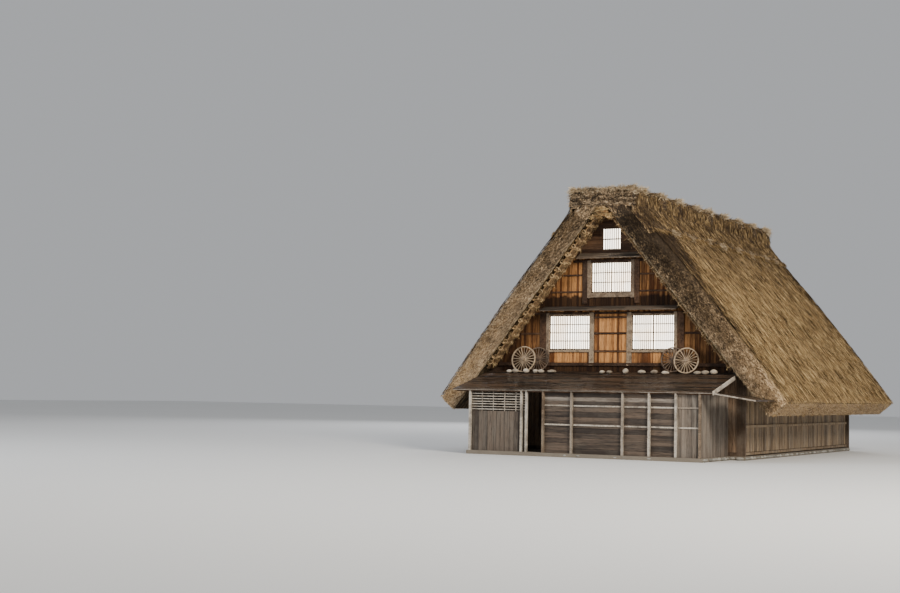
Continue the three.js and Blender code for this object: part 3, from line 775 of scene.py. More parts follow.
def slopeStraw(side):
    label = sideNames[side]
    span = house["vergeBack"] - house["vergeFront"]
    out = np.array([side * outSlope[0], 0.0, outSlope[1]])
    down = np.array([-side * upSlope[0], 0.0, -upSlope[1]])
    across = np.array([0.0, 1.0, 0.0])
    straws, sides, butts, bright = Straws(), Straws(), Straws(), Straws()

    def spread(ups, shares, depths):
        xs = side * (house["eaveX"] + upSlope[0] * ups - outSlope[0] * depths)
        zs = house["eaveZ"] + upSlope[1] * ups - outSlope[1] * depths
        front, back = vergeY("front", zs), vergeY("back", zs)
        return lines(xs, front + shares * (back - front), zs)

    def lifted(spots, share=1.0):
        waves = np.array([thatchWave(side, y, z) for _, y, z in spots])
        return spots + out * (waves * share)[:, None]

    def strandTones(ys, zs):
        # light and dark flecks that run down the slope, with painted shade towards the ridge and beside the
        # verges
        flecks = (ripples(ys * 8.0, zs * 1.2, side * 5.0) * 0.4
                  + ripples(ys * 30.0, zs * 1.6, side * 9.0) * 1.1
                  + ripples(ys * 21.0, zs * 7.0, side * 4.0) * 0.45)
        edge = vergeEdge(ys, zs, np.abs)
        wider = house["darkTop"] * held((zs - 6.0) / 2.8) * held((2.0 - ys) / 4.0)
        vergeShade = held((1.25 + wider - edge) / 0.9) * (0.3 + 0.7 * held((zs - 3.6) / 4.8))
        tones = flecks - vergeShade * 0.55 - held((zs - 6.6) / 3.0) * 0.42
        return held(0.53 + tones + bell(0.0, 0.12, len(ys)))

    # fine straw, then wider locks, down the outer face
    for count, lengths, widths in ((thatch["straws"], (0.14, 0.38), (0.008, 0.017)),
                                   (thatch["locks"], (0.18, 0.42), (0.014, 0.026))):
        ups = even(0.16, slopeLength - 0.5, count)
        spots = lifted(spread(ups, even(0.012, 0.988, count), -0.002))
        aims = down + out * bell(0.015, 0.022, (count, 1)) + across * bell(0.0, 0.06, (count, 1))
        lengths = np.minimum(even(*lengths, count), ups + 0.04)
        straws.add(spots, aims, lengths, widths, strandTones(spots[:, 1], spots[:, 2]), out)
    # cut ends on the eave face
    count = thatch["eaveStraws"]
    spots = spread(even(0.02, 0.12, count), even(0.008, 0.992, count),
                   even(0.03, thatchDepth - 0.03, count))
    straws.add(spots, down + bell(0.0, 0.16, (count, 3)), (0.05, 0.14), (0.008, 0.02), (0.2, 1.0))
    # and on both verges, with painted light on the left and painted shade higher up, on the right and at the
    # outer corner
    rounding = thatch["rounding"]
    sideLight, wearAndShade = (0.16, 0.125) if side > 0 else (0.34, 0.085)
    for lead in (-1.0, 1.0):
        count = thatch["vergeStraws"]
        depths = thatchDepth * even(0.02, 1.0, count) ** 0.8
        inset = 0.02 + rounding * (1.0 - np.sqrt(1.0 - np.clip(1.0 - depths / rounding, 0.0, 0.98) ** 2))
        shares = inset / span if lead < 0 else 1.0 - inset / span
        spots = lifted(spread(even(0.1, slopeLength, count), shares, depths), 0.6)
        aims = (down * even(0.2, 1.0, (count, 1)) + across * lead * even(0.10, 0.50, (count, 1))
                + out * bell(0.0, 0.34, (count, 1)))
        patch = ripples(spots[:, 2] * 4.5, depths * 11.0, side * 4.0 + lead)
        tones = even(0.05, 0.80, count) + patch * 0.30 + sideLight - wearAndShade * (spots[:, 2] - 3.0)
        # painted shade on the rounded outer corner
        tones = held(tones - 0.30 * held(1.0 - depths / 0.34))
        bare = depths + bell(0.0, 0.08, count) > 0.58
        for kind, group in ((butts, bare), (sides, ~bare)):
            kind.add(spots[group], aims[group], (0.06, 0.18), (0.008, 0.020), tones[group])
        # a thin bright line of straw along the inner edge
        count = thatch["edgeStraws"]
        depths = thatchDepth - even(0.0, 0.07, count)
        share = 0.035 / span if lead < 0 else 1.0 - 0.035 / span
        spots = spread(even(0.30, slopeLength, count), share, depths)
        aims = down + across * lead * even(0.0, 0.25, (count, 1)) + out * bell(0.0, 0.06, (count, 1))
        bright.add(spots, aims, (0.10, 0.28), (0.010, 0.020), (0.15, 0.85))
    straws.make(label + "ThatchStraw", goldenStraw, "thatch")
    sides.make(label + "VergeStraw", brownStraw, "thatch")
    butts.make(label + "VergeEnds", cutEnds, "thatch")
    bright.make(label + "VergeEdge", paleStraw, "thatch")


for side in (-1, 1):
    thatchSlope(side)
    slopeStraw(side)
print("thatch ready")


# ridge cap: bundles laid across the ridge, ragged at both ends, with a skirt down each slope
ridge = {
    "topZ": 10.70,
    "skirtDrop": 1.06, "skirt": 0.072,
    "saddleYs": (-6.41, -4.49, -2.48, -0.31, 1.27, 3.29, 5.38, 7.40, 9.35),
    "tailYs": (-5.40, -3.49, -1.47, 0.33, 2.35, 4.29, 6.46, 7.98),
    "hump": 0.07,
    "darkEnd": 1.7,        # painted shade on the skirt behind its front end
    "sideStraws": 15000,
    "topStraws": 4500,
    "faceStraws": 6500,
    "bundleStraws": 300,
    "shoulderStraws": 1500,
    "footStraws": 1400,
    "cornerStraws": 560,
    "rimStraws": 900,
    "tuftStraws": 150,
    # number, spread along the ridge, lowest, highest and longest of the fans at each shoulder
    "fans": ((320, 0.20, -0.12, 0.06, 0.22), (60, 0.34, -0.30, 0.00, 0.18)),
    # height and half width of the sides and the skirt
    "profile": ((10.72, 1.20), (10.58, 1.36), (10.18, 1.432), (10.0, 1.458), (9.84, 1.54), (9.6, 1.73),
                (9.3, 1.96), (8.9, 2.29)),
}


def ridgeOutline():
    tailZ = house["capFootZ"] - ridge["skirtDrop"]
    tailX = house["capX"] + ridge["skirtDrop"] / pitch
    return [(0.0, ridge["topZ"] + 0.02), (0.35, ridge["topZ"] + 0.02), (0.7, ridge["topZ"] + 0.02),
            (1.0, ridge["topZ"]), (1.22, ridge["topZ"] - 0.03), (1.34, ridge["topZ"] - 0.12), (1.40, 10.40),
            (1.425, 10.18), (1.45, 10.0), (1.53, 9.84), (1.72, 9.60), (1.95, 9.30),
            (tailX + ridge["skirt"] - 0.10, tailZ + 0.14), (tailX + ridge["skirt"] - 0.03, tailZ + 0.03),
            (tailX - 0.02, tailZ + 0.02), (1.45, 9.85), (house["capX"] + 0.002, house["capFootZ"] + 0.002)]


def ridgeHump(y):
    # the bundles over the ridge stand a little higher, each by its own amount
    return sum(ridge["hump"] * (0.7 + 0.5 * math.sin(spot * 5.3)) * math.exp(-((y - spot) / 0.27) ** 2)
               for spot in ridge["saddleYs"])


def cornerDrop(y, z):
    # how far the skirt sinks with the rounded corner of the thatch below it
    edge = house["vergeHalf"] + house["vergeLean"] - abs(y - house["vergeMiddle"])
    radius = 0.38
    near = max(0.0, radius - edge)
    drop = radius - math.sqrt(max(0.0, radius * radius - near * near))
    return drop * min(1.0, max(0.0, (10.05 - z) / 0.25))


def ridgeCore():
    shape = Shape()
    half = ridgeOutline()     # the right half, from the top down
    outline = [(-x, z) for x, z in reversed(half[1:])] + half
    count = len(outline)
    stations = stops(1.0, 0.006, 0.02)
    points, faces = [], []
    for share in stations:
        for x, z in outline:
            front, back = vergeY("front", z), vergeY("back", z)
            y = front + 0.03 + share * (back - front - 0.06)
            spot = Vector((x, y, z))
            if z > 10.1:
                wave = (noise.noise(spot * 1.7) * 0.04 + noise.noise(spot * 5.0) * 0.03
                        + noise.noise(spot * 12.0) * 0.02 + ridgeHump(y))
                spot += Vector((x * 0.25, 0.0, z - 9.9)).normalized() * (wave - 0.02)
                if share in (stations[0], stations[-1]):
                    spot.y += noise.noise(spot * 4.0) * 0.05
            elif x:
                edge = min(y - front, back - y)
                thin = ridge["skirt"] * max(0.0, 1.0 - edge / 0.30) * min(1.0, max(0.0, (9.90 - z) / 0.1))
                spot += Vector((math.copysign(outSlope[0], x), 0.0, outSlope[1])) * (
                    noise.noise(spot * 3.1) * 0.02 - cornerDrop(y, z) - thin)
            points.append(spot)
    rows = len(stations)
    for i in range(rows - 1):
        for k in range(count):
            a, b = i * count + k, i * count + (k + 1) % count
            faces.append((a, b, b + count, a + count))
    faces.append(tuple(range(count)))
    faces.append(tuple((rows - 1) * count + k for k in range(count)))
    shape.add(points, faces, 0.5)
    makePiece("ridgeBundles", shape, ridgeThatch, ("ridge_cap",))


def ridgeStraw():
    straws, butts, fans = Straws(), Straws(), Straws()
    top = ridge["topZ"]
    first, last = vergeY("front", 11.0), vergeY("back", 11.0)
    heights, reaches = np.array(ridge["profile"]).T

    def onTop(ys, high):
        return top + np.array([ridgeHump(y) for y in ys]) + even(-0.01, high, len(ys))

    # straw of the bundles, its ends fanned out at the shoulders
    for spot in ridge["saddleYs"]:
        for side in (-1, 1):
            count = ridge["bundleStraws"]
            ys = spot + bell(0.0, 0.20, count).clip(-0.45, 0.45)
            xs = even(0.1, 1.18, count)
            spots = lines(side * xs, ys, onTop(ys, 0.03))
            aims = lines(side, bell(0.0, 0.35, count), bell(0.0, 0.12, count) - 0.12 * xs)
            butts.add(spots, aims, (0.12, 0.30), (0.01, 0.022), (0.35, 1.0), (0.0, 0.0, 1.0))
            for count, wide, low, high, longest in ridge["fans"]:
                spots = lines(side * even(1.16, 1.36, count), spot + bell(0.0, wide, count).clip(-0.5, 0.5),
                              top + even(low, high, count))
                aims = lines(side * even(0.2, 1.0, count), bell(0.0, 0.8, count), bell(0.18, 0.40, count))
                fans.add(spots, aims, (0.08, longest), (0.014, 0.030), (0.50, 1.0))
    for side in (-1, 1):
        # straw laid across the ridge
        count = ridge["topStraws"]
        ys, xs = even(first + 0.05, last - 0.05, count), even(-0.05, 1.22, count)
        spots = lines(side * xs, ys, onTop(ys, 0.025))
        aims = lines(side, bell(0.0, 0.16, count), bell(0.0, 0.07, count) - 0.12 * xs)
        tones = held(0.42 + ripples(xs * 2.0, ys * 9.0, side * 6.0) * 0.9)
        straws.add(spots, aims, (0.12, 0.34), (0.010, 0.022), tones, (0.0, 0.0, 1.0))
        # loose ends along the shoulders between the bundles
        count = ridge["shoulderStraws"]
        spots = lines(side * even(1.12, 1.38, count), even(first, last, count),
                      top + even(-0.22, 0.02, count))
        aims = lines(side * even(0.1, 1.0, count), bell(0.0, 0.8, count), bell(0.0, 0.45, count))
        butts.add(spots, aims, (0.06, 0.18), (0.010, 0.022), (0.0, 0.7))
        # short straw down the sides and the skirt
        count = ridge["sideStraws"]
        zs = even(8.96, top + 0.01, count)
        xs = np.interp(-zs, -heights, reaches) + 0.006
        ys = even(first + 0.06, last - 0.06, count)
        drops = np.array([cornerDrop(y, z) for y, z in zip(ys, zs)])
        steep = np.where(zs > 9.95, 0.14, 0.80)
        aims = lines(side * (steep + bell(0.0, 0.05, count)), bell(0.0, 0.12, count), -1.0)
        tones = (0.33 + ripples(ys * 12.0, zs * 2.4, side * 2.0) * 0.6
                 + ripples(ys * 28.0, zs * 4.0, side * 3.0) * 1.1)
        # painted shade in hollows below the shoulders
        tones -= np.clip(ripples(ys * 2.1, zs * 2.4, side * 8.0), 0.0, 0.5) * held((zs - 9.6) / 0.4) * 0.9
        # painted shade on the skirt near the front verge, like the strip on the slope below it
        tones -= held((ridge["darkEnd"] - ys + first) / 0.8) * held((10.15 - zs) / 0.4) * 0.42
        spots = lines(side * (xs - drops * outSlope[0]), ys, zs - drops * outSlope[1])
        straws.add(spots, aims, (0.08, 0.22), (0.009, 0.019), held(tones), (side * 0.8, 0.0, 0.6))
        # small knotted tufts at its foot
        for spot in ridge["tailYs"]:
            size = even(0.45, 1.25)
            count = round(ridge["tuftStraws"] * size)
            way = dice.choice([-1.0, 1.0], count)
            aims = lines(side * 0.70, way * even(0.1, 1.1, count), -0.62)
            spots = (side * 2.24, spot, 9.03) + bell(0.0, 1.0, (count, 3)) * (0.04, 0.13 * size, 0.06)
            fans.add(spots, aims + bell(0.0, 0.35, (count, 3)), (0.09, 0.20 + 0.07 * size),
                     (0.012, 0.024), (0.10 + 0.15 * size, 0.70 + 0.20 * size))
        # loose ends along the foot
        count = ridge["footStraws"]
        ys = even(first + 0.1, last - 0.1, count)
        drops = np.array([cornerDrop(y, 8.96) for y in ys])
        spots = lines(side * (2.24 - drops * outSlope[0]), ys,
                      9.02 - drops * outSlope[1] + bell(0.0, 0.03, count))
        aims = lines(side * 0.78, bell(0.0, 0.3, count), even(-1.1, -0.7, count))
        straws.add(spots, aims, (0.08, 0.22), (0.012, 0.024), (0.0, 0.75))
    # cut and crossing ends on both faces
    for end, lead in (("front", -1.0), ("back", 1.0)):
        face = vergeY(end, 11.0)
        count = ridge["faceStraws"]
        xs, zs = even(-1.38, 1.38, count), even(9.98, top + 0.03, count)
        upper = zs > top - 0.20
        crossing = lines(dice.choice([-1.0, 1.0], count) * even(0.5, 1.0, count),
                         lead * even(0.1, 0.5, count), bell(0.0, 0.16, count))
        hanging = lines(bell(0.0, 0.4, count), lead * even(0.3, 0.9, count), -even(0.3, 1.0, count))
        tones = 0.44 + (ripples(xs * 2.6, 0.0, zs * 11.0) * 2.8 + ripples(xs * 13.0, 4.0, zs * 26.0) * 1.6)
        tones += np.where(upper, 0.45, -0.08)
        butts.add(lines(xs, face - lead * 0.06, zs), np.where(upper[:, None], hanging, crossing),
                  (0.06, 0.18), (0.010, 0.022), held(tones))
        # fans at both shoulders, then along the top edge
        for side in (-1, 1):
            count = ridge["cornerStraws"]
            spots = lines(side * even(1.10, 1.38, count), face - lead * even(0.0, 0.5, count),
                          even(10.46, top + 0.04, count))
            aims = lines(side * even(0.3, 1.0, count), lead * even(-0.1, 0.9, count), bell(0.05, 0.38, count))
            fans.add(spots, aims, (0.08, 0.26), (0.010, 0.024), (0.4, 1.1))
        count = ridge["rimStraws"]
        spots = lines(even(-1.3, 1.3, count), face - lead * 0.03, top + even(-0.14, 0.05, count))
        aims = lines(bell(0.0, 0.6, count), lead * even(0.2, 1.0, count), bell(0.1, 0.4, count))
        fans.add(spots, aims, (0.06, 0.18), (0.010, 0.022), (0.3, 1.0))
    straws.make("ridgeStraw", goldenStraw, "ridge_thatch")
    butts.make("ridgeEnds", cutEnds, "ridge_thatch")
    fans.make("ridgeFans", paleStraw, "ridge_thatch")


apex = {"poles": 30, "ropes": 4, "straws": 240, "low": 9.50, "high": 9.95}


def apexBundle(end):
    # pole ends and a straw rope in the point under the ridge
    out = ends[end][0]
    face = vergeY(end, house["capFootZ"])
    wood, rope = Shape(), Shape()
    for i in range(apex["poles"]):
        z = even(apex["low"], apex["high"])
        x = even(-1.0, 1.0) * max(0.10, innerHalf(z) - 0.04)
        radius = even(0.024, 0.040)
        back = face - out * even(0.9, 1.1)
        front = face + out * even(-0.04, 0.09)
        tube(wood, between((x * 0.8, back, z + 0.02), (x, front, z), 4), radius, 9, ripple=0.06)
    for i in range(apex["ropes"]):
        height = 9.62 + 0.08 * i
        half = innerHalf(height) + 0.03
        lean = 0.05 * (-1) ** i
        path = [(t * half, face + out * (0.05 + 0.05 * math.cos(t * 1.5)), height + lean * t + bell(0, 0.008))
                for t in np.linspace(-1.0, 1.0, 9)]
        tube(rope, path, 0.018, 6, ripple=0.2)
    clump = Straws()
    count = apex["straws"]
    zs = even(apex["low"], 9.96, count)
    xs = even(-1.0, 1.0, count) * np.array([max(0.12, innerHalf(z) + 0.02) for z in zs])
    fan = lines(-xs * 1.5 + bell(0.0, 0.5, count), out * even(0.1, 0.6, count), -even(0.2, 1.0, count))
    clump.add(lines(xs, face + out * 0.05, zs), fan, (0.06, 0.16), (0.012, 0.026), (0.2, 1.0))
    clump.make(end + "ApexStraw", goldenStraw, "thatch")
    makePiece(end + "ApexPoles", wood, brightPoles, smooth=True)
    makePiece(end + "ApexRope", rope, goldenStraw, smooth=True)


ridgeCore()
ridgeStraw()
apexBundle("front")
apexBundle("back")
print("ridge ready")


# poles and straw-rope lashings under the verges
poles = {
    "radius": 0.042, "rakeRadius": 0.045, "notch": 0.012, "spacing": 0.60, "short": 0.15, "high": 9.55,
    "low": {"front": 3.65, "back": 2.75}, "beyond": 0.12,
    "shares": (0.18, 0.335, 0.49, 0.645, 0.80),
    "rope": 0.012, "knotStraws": 14, "looseStraws": 1100,
}


def vergePoles(end, side):
    out, wall, _ = ends[end]
    low, high = poles["low"][end], poles["high"]
    inward = Vector((-side * outSlope[0], 0.0, -outSlope[1]))

    def under(z, y, depth):
        return Vector((side * innerHalf(z), y, z)) + inward * depth

    wood, rope, canes, clumps = Shape(), Shape(), Shape(), Straws()
    steps = round((high - low) / poles["spacing"])
    heights = [low + (high - low) * i / steps for i in range(steps + 1)]
    rakeDepth = poles["radius"] * 2 + poles["rakeRadius"] - poles["notch"]
    for z in heights:
        start = under(z, wall + out * 0.004, poles["radius"] + 0.003)
        stop = under(z, vergeY(end, z) - out * poles["short"], poles["radius"] + 0.003)
        path = [p + Vector((bell(0, 0.004), 0.0, bell(0, 0.004))) for p in between(start, stop, 5)]
        tube(wood, path, [poles["radius"] * even(0.80, 0.98) for _ in path], 8)
    halfway = [z + (high - low) / steps / 2 for z in heights[:-1]]
    for z in halfway:
        z += bell(0.0, 0.012)
        start = under(z, wall + out * 0.1, 0.05)
        stop = under(z, vergeY(end, z) - out * even(0.05, 0.12), 0.05)
        tube(canes, between(start, stop, 3), [even(0.026, 0.034) for _ in range(3)], 6)
    foot, head = low - poles["beyond"], high + poles["beyond"]
    for share in poles["shares"]:
        start = under(foot, wall + (vergeY(end, foot) - wall) * share, rakeDepth)
        stop = under(head, wall + (vergeY(end, head) - wall) * share, rakeDepth)
        path = between(start, stop, 16)
        tube(wood, path, [poles["rakeRadius"] * even(0.58, 0.80) for _ in path], 8)
        run = (stop - start).normalized()
        for z in heights + halfway:
            middle = start.lerp(stop, (z - start.z) / (stop.z - start.z)) - inward * 0.04
            middle += run * bell(0.0, 0.03)
            for turn in (-1, 1, 1):
                if dice.random() < 0.25:
                    continue
                first = (run * even(0.6, 1.4) + Vector((0.0, turn, 0.0))).normalized()
                reach = even(0.8, 1.15)
                loop = [middle + first * math.cos(a) * 0.100 * reach + inward * math.sin(a) * 0.086
                        for a in np.linspace(0, 2 * math.pi, 10, endpoint=False)]
                tube(rope, loop, poles["rope"], 4, tone=even(0.15, 1.0), closed=True, ripple=0.25)
            count = poles["knotStraws"]
            spots = np.array(middle + inward * 0.03) + bell(0.0, 0.035, (count, 3))
            fan = bell(0.0, 0.7, (count, 3)) + np.array(inward) * 0.4 + np.array(run) * -0.5
            clumps.add(spots, fan, (0.06, 0.20), (0.008, 0.016), (0.0, 1.0))
    # loose straw that shows between the poles
    count = poles["looseStraws"]
    zs, shares = even(low, high, count), even(0.05, 1.0, count)
    spots = np.array([under(z, wall + (vergeY(end, z) - wall) * s, 0.0) for z, s in zip(zs, shares)])
    fan = np.array([side * 0.6, 0.0, -0.75]) + bell(0.0, 0.30, (count, 3)) + np.array(inward) * 0.15
    clumps.add(spots, fan, (0.08, 0.20), (0.008, 0.018), (0.0, 0.6))
    label = end + sideNames[side].capitalize()
    node = f"{end}_{sideNames[side]}_verge_poles"
    makePiece(label + "VergePoles", wood, roofPoles, (node,), smooth=True)
    makePiece(label + "Lashings", rope, ropeStraw, smooth=True)
    makePiece(label + "Canes", canes, brightPoles, smooth=True)
    clumps.make(label + "VergeStraw", goldenStraw, "thatch")


for end in ends:
    for side in (-1, 1):
        vergePoles(end, side)
print("verge poles ready")


# gable walls, timber frames, windows and pent ledges
gable = {
    # frame timbers: kind, half width or span to one side with 0 for the thatch, heights, share of the depth
    "lower": {
        "floor": 3.32, "top": 5.86, "inner": 0.926, "outer": 2.726, "sill": 4.244, "head": 5.655,
        "across": (("dark", 0, 3.592, 3.724, 1.0), ("dark", 0, 5.700, 5.784, 0.92),
                   ("dark", 0.72, 4.152, 4.236, 0.7), ("dark", 0.72, 4.876, 4.958, 0.7),
                   ("dark", 0.72, 5.529, 5.600, 0.7)),
        "sides": (("light", 0.720, 0.925, 3.612, 5.764, 0.98), ("light", 2.722, 2.860, 3.612, 5.764, 0.98),
                  ("dark", 2.864, 3.150, 3.440, 5.764, 0.94), ("light", 0.915, 2.732, 4.150, 4.240, 1.0),
                  ("light", 0.915, 2.732, 5.659, 5.705, 0.9), ("dark", 3.140, 0, 4.876, 4.958, 0.7)),
    },
    "middle": {
        "floor": 5.98, "top": 7.98, "half": 0.866, "sill": 6.564, "head": 7.809,
        "across": (("light", 1.03, 6.375, 6.560, 1.0), ("dark", 0, 7.813, 7.915, 0.92)),
        "sides": (("light", 0.866, 1.030, 6.350, 7.895, 0.98), ("dark", 1.034, 1.250, 6.130, 7.895, 0.94),
                  ("dark", 1.240, 0, 6.579, 6.650, 0.7), ("dark", 1.240, 0, 7.262, 7.333, 0.7)),
    },
    "top": {"floor": 8.10, "top": 9.90, "half": 0.399, "sill": 8.297, "head": 9.190},
    "board": 0.11,
    "sash": {"inset": 0.002, "deep": 0.046, "edge": 0.028, "foot": 0.048, "uprightHalf": 0.0205,
             "levelHalf": {1: 0.024, 2: 0.017}},
    "ledgeBoard": 0.022,
    "ledges": {
        "lower": {"half": 2.970, "low": 5.870, "rise": 0.160, "reach": 0.520, "courses": 3,
                  "brackets": (-2.8, -1.9, -0.8, 0.8, 1.9, 2.8)},
        "upper": {"half": 1.405, "low": 7.990, "rise": 0.220, "reach": 0.380, "courses": 2,
                  "brackets": (-1.25, -0.5, 0.5, 1.25)},
    },
}


def gableBoards(end):
    low, middle, top = gable["lower"], gable["middle"], gable["top"]
    inner, outer, half = low["inner"], low["outer"], middle["half"]
    shape = Shape()
    for storey, plain, windows in (
            (low, ((-4.9, -outer), (outer, 4.9), (-inner, inner)), ((-outer, -inner), (inner, outer))),
            (middle, ((-3.3, -half), (half, 3.3)), ((-half, half),))):
        floor, roof = storey["floor"], storey["top"] + 0.1
        parts = [(span, (floor, roof)) for span in plain]
        parts += [(span, (floor, storey["sill"] - 0.005)) for span in windows]
        parts += [(span, (storey["head"] + 0.005, roof)) for span in windows]
        for span, heights in parts:
            boarding(shape, span, heights, end, gable["board"])
    makePiece(end + "GableBoards", shape, uprightBoards, bevel=0.003)
    shape = Shape()
    half, floor, roof = top["half"], top["floor"], top["top"]
    for span, heights, board in (((-1.7, -half), (floor, roof), 0.21), ((half, 1.7), (floor, roof), 0.21),
                                 ((-half, half), (floor, top["sill"] - 0.005), 0.19),
                                 ((-half, half), (top["head"] + 0.005, roof), 0.21)):
        boarding(shape, span, heights, end, board, upright=False)
    makePiece(end + "TopBoards", shape, levelBoards, bevel=0.003)


def gableFrames(end, level):
    out, face, _ = ends[end]
    shapes = {"light": Shape(), "dark": Shape()}

    def bar(kind, x0, x1, z0, z1, thick):
        far = face + out * house["frameDepth"] * thick
        slab(shapes[kind], x0, x1, face + out * 0.002, far, z0, z1, 0.003, 6)

    def reach(x, z):
        # to x, or to the thatch where x is 0
        return x or innerHalf(z) - 0.165

    for kind, x, z0, z1, thick in gable[level]["across"]:
        bar(kind, -reach(x, z1), reach(x, z1), z0, z1, thick)
    for side in (-1, 1):
        for kind, x0, x1, z0, z1, thick in gable[level]["sides"]:
            bar(kind, side * x0, side * reach(x1, z1), z0, z1, thick)
    name = end + level.capitalize()
    node = f"{end}_{level}_frame"
    makePiece(name + "Frame", shapes["light"], hewnTimber, (node,), bevel=0.008)
    makePiece(name + "Posts", shapes["dark"], darkTimber, bevel=0.008)


def paperWindow(end, name, node, span, heights, panels, uprights, levels):
    # sliding panels of thin bars over paper
    out, face, _ = ends[end]
    sizes = gable["sash"]
    (x0, x1), (z0, z1), edge = span, heights, sizes["edge"]
    near = face - out * 0.02
    far = near - out * sizes["deep"]
    middle = (near + far) / 2
    sash, paper = Shape(), Shape()
    bars = []
    width = (x1 - x0) / panels
    for i in range(panels):
        a, b = x0 + i * width, x0 + (i + 1) * width
        lap = 0.008 * (panels - 1)
        depths = near - out * (0.004 + 0.012 * (i % 2)), far + out * 0.004
        bars += [(a - lap * i, a + edge, z0, z1, *depths), (b - edge, b, z0, z1, *depths),
                 (a, b, z0, z0 + sizes["foot"], *depths), (a, b, z1 - edge, z1, *depths)]
        inner0, inner1 = a + edge, b - edge
        depths = middle + out * 0.003, near - out * (0.004 + 0.010 * (i % 2))
        half = sizes["uprightHalf"]
        for k in range(1, uprights):
            x = inner0 + (inner1 - inner0) * k / uprights
            bars.append((x - half, x + half, z0 + edge, z1 - edge, *depths))
        half = sizes["levelHalf"][panels]
        for k in range(1, levels):
            z = z0 + edge + (z1 - z0 - 2 * edge) * k / levels
            bars.append((inner0, inner1, z - half, z + half, *depths))
    for a, b, c, d, y0, y1 in bars:
        slab(sash, a, b, y0, y1, c, d, 0.0008, 2)
    x0, x1, z0, z1 = x0 + 0.01, x1 - 0.01, z0 + 0.01, z1 - 0.01
    plate(paper, [(x0, z0), (x1, z0), (x1, z1), (x0, z1)], middle - out * 0.003, middle + out * 0.001, 0.5)
    makePiece(end + name + "Paper", paper, windowPaper, (f"{end}_{node}_window",))
    makePiece(end + name + "Sash", sash, windowBars)


def gableWindows(end):
    inset = gable["sash"]["inset"]

    def fill(name, node, storey, span, panels, uprights, levels):
        heights = (storey["sill"] + inset, storey["head"] - inset)
        paperWindow(end, name, node, span, heights, panels, uprights, levels)

    low, middle, top = gable["lower"], gable["middle"], gable["top"]
    inner, outer = low["inner"] + inset, low["outer"] - inset
    fill("LowerLeft", "lower_left", low, (-outer, -inner), 2, 10, 4)
    fill("LowerRight", "lower_right", low, (inner, outer), 2, 10, 4)
    fill("Middle", "middle", middle, (inset - middle["half"], middle["half"] - inset), 2, 10, 3)
    fill("Top", "top", top, (inset - top["half"], top["half"] - inset), 1, 8, 2)


def pentLedge(end, level):
    out, face, _ = ends[end]
    ledge = gable["ledges"][level]
    half, rise, courses = ledge["half"], ledge["rise"], ledge["courses"]
    near, far = face + out * 0.004, face + out * ledge["reach"]
    run = Vector((0.0, far - near, -rise)).normalized()
    up = Vector((0.0, rise * out, abs(far - near))).normalized()
    length = math.hypot(far - near, rise)
    shape = Shape()
    for i in range(courses):
        cuts = [-half, even(-0.4, 0.4) * half, half]
        for a, b in neighbours(cuts):
            middle = Vector((0.0, near, ledge["low"] + rise)) + run * (length * (i + 0.5) / courses)
            middle += up * (-0.018 + 0.006 * (courses - 1 - i) - 0.006)
            start, stop = Vector((a + 0.003, middle.y, middle.z)), Vector((b - 0.003, middle.y, middle.z))
            beam(shape, start, stop, length / courses + 0.02, gable["ledgeBoard"], up, 0.003, 8)
    name = f"{end}{level.capitalize()}Ledge"
    makePiece(name, shape, ledgeBoards, (f"{end}_{level}_ledge",), bevel=0.003)
    trim = Shape()
    low = ledge["low"]
    slab(trim, -half, half, far - out * 0.032, far - out * 0.002, low - 0.045, low - 0.004, 0.002)
    for x in ledge["brackets"]:
        start, stop = (x, near, low + rise - 0.075), (x, far - out * 0.02, low - 0.045)
        tube(trim, between(start, stop, 4), [0.034, 0.033, 0.032, 0.030], 8)
    makePiece(name + "Trim", trim, hewnTimber, bevel=0.003)


for end in ends:
    gableBoards(end)
    gableFrames(end, "lower")
    gableFrames(end, "middle")
    gableWindows(end)
    pentLedge(end, "lower")
    pentLedge(end, "upper")
dress([f"{end}_{level}_gable_wall" for end in ends for level in ("lower", "middle", "top")], darkTimber)
dress(["front_ground_wall", "back_ground_wall"], wallPlanks)
dress(["first_attic_floor", "second_attic_floor", "third_attic_floor"], floorBoards)
dress(["ground_floor"], beatenEarth)
print("gables ready")


# lean-to roof of lapped boards, with loose stones along its back
lean = {"courses": 18, "thick": 0.026, "lap": 0.035, "rake": (0.036, 0.150),
        "wing": {"right": 7.095, "drop": 0.235, "boards": 9, "thick": 0.045, "edge": (0.026, 0.052)},
        "stoneY": -7.02, "flatStones": 0.18, "flatSquash": 0.36,
        "stones": [     # X and radius; those with at least the radius flatStones lie flat
            (-4.325, 0.13), (-4.055, 0.14), (-3.555, 0.15), (-3.135, 0.13), (-2.865, 0.14), (-2.40, 0.20),
            (-0.155, 0.13), (0.17, 0.13), (0.855, 0.16), (1.53, 0.15), (2.06, 0.16), (2.555, 0.13),
            (3.875, 0.13), (4.18, 0.14), (4.515, 0.15)]}


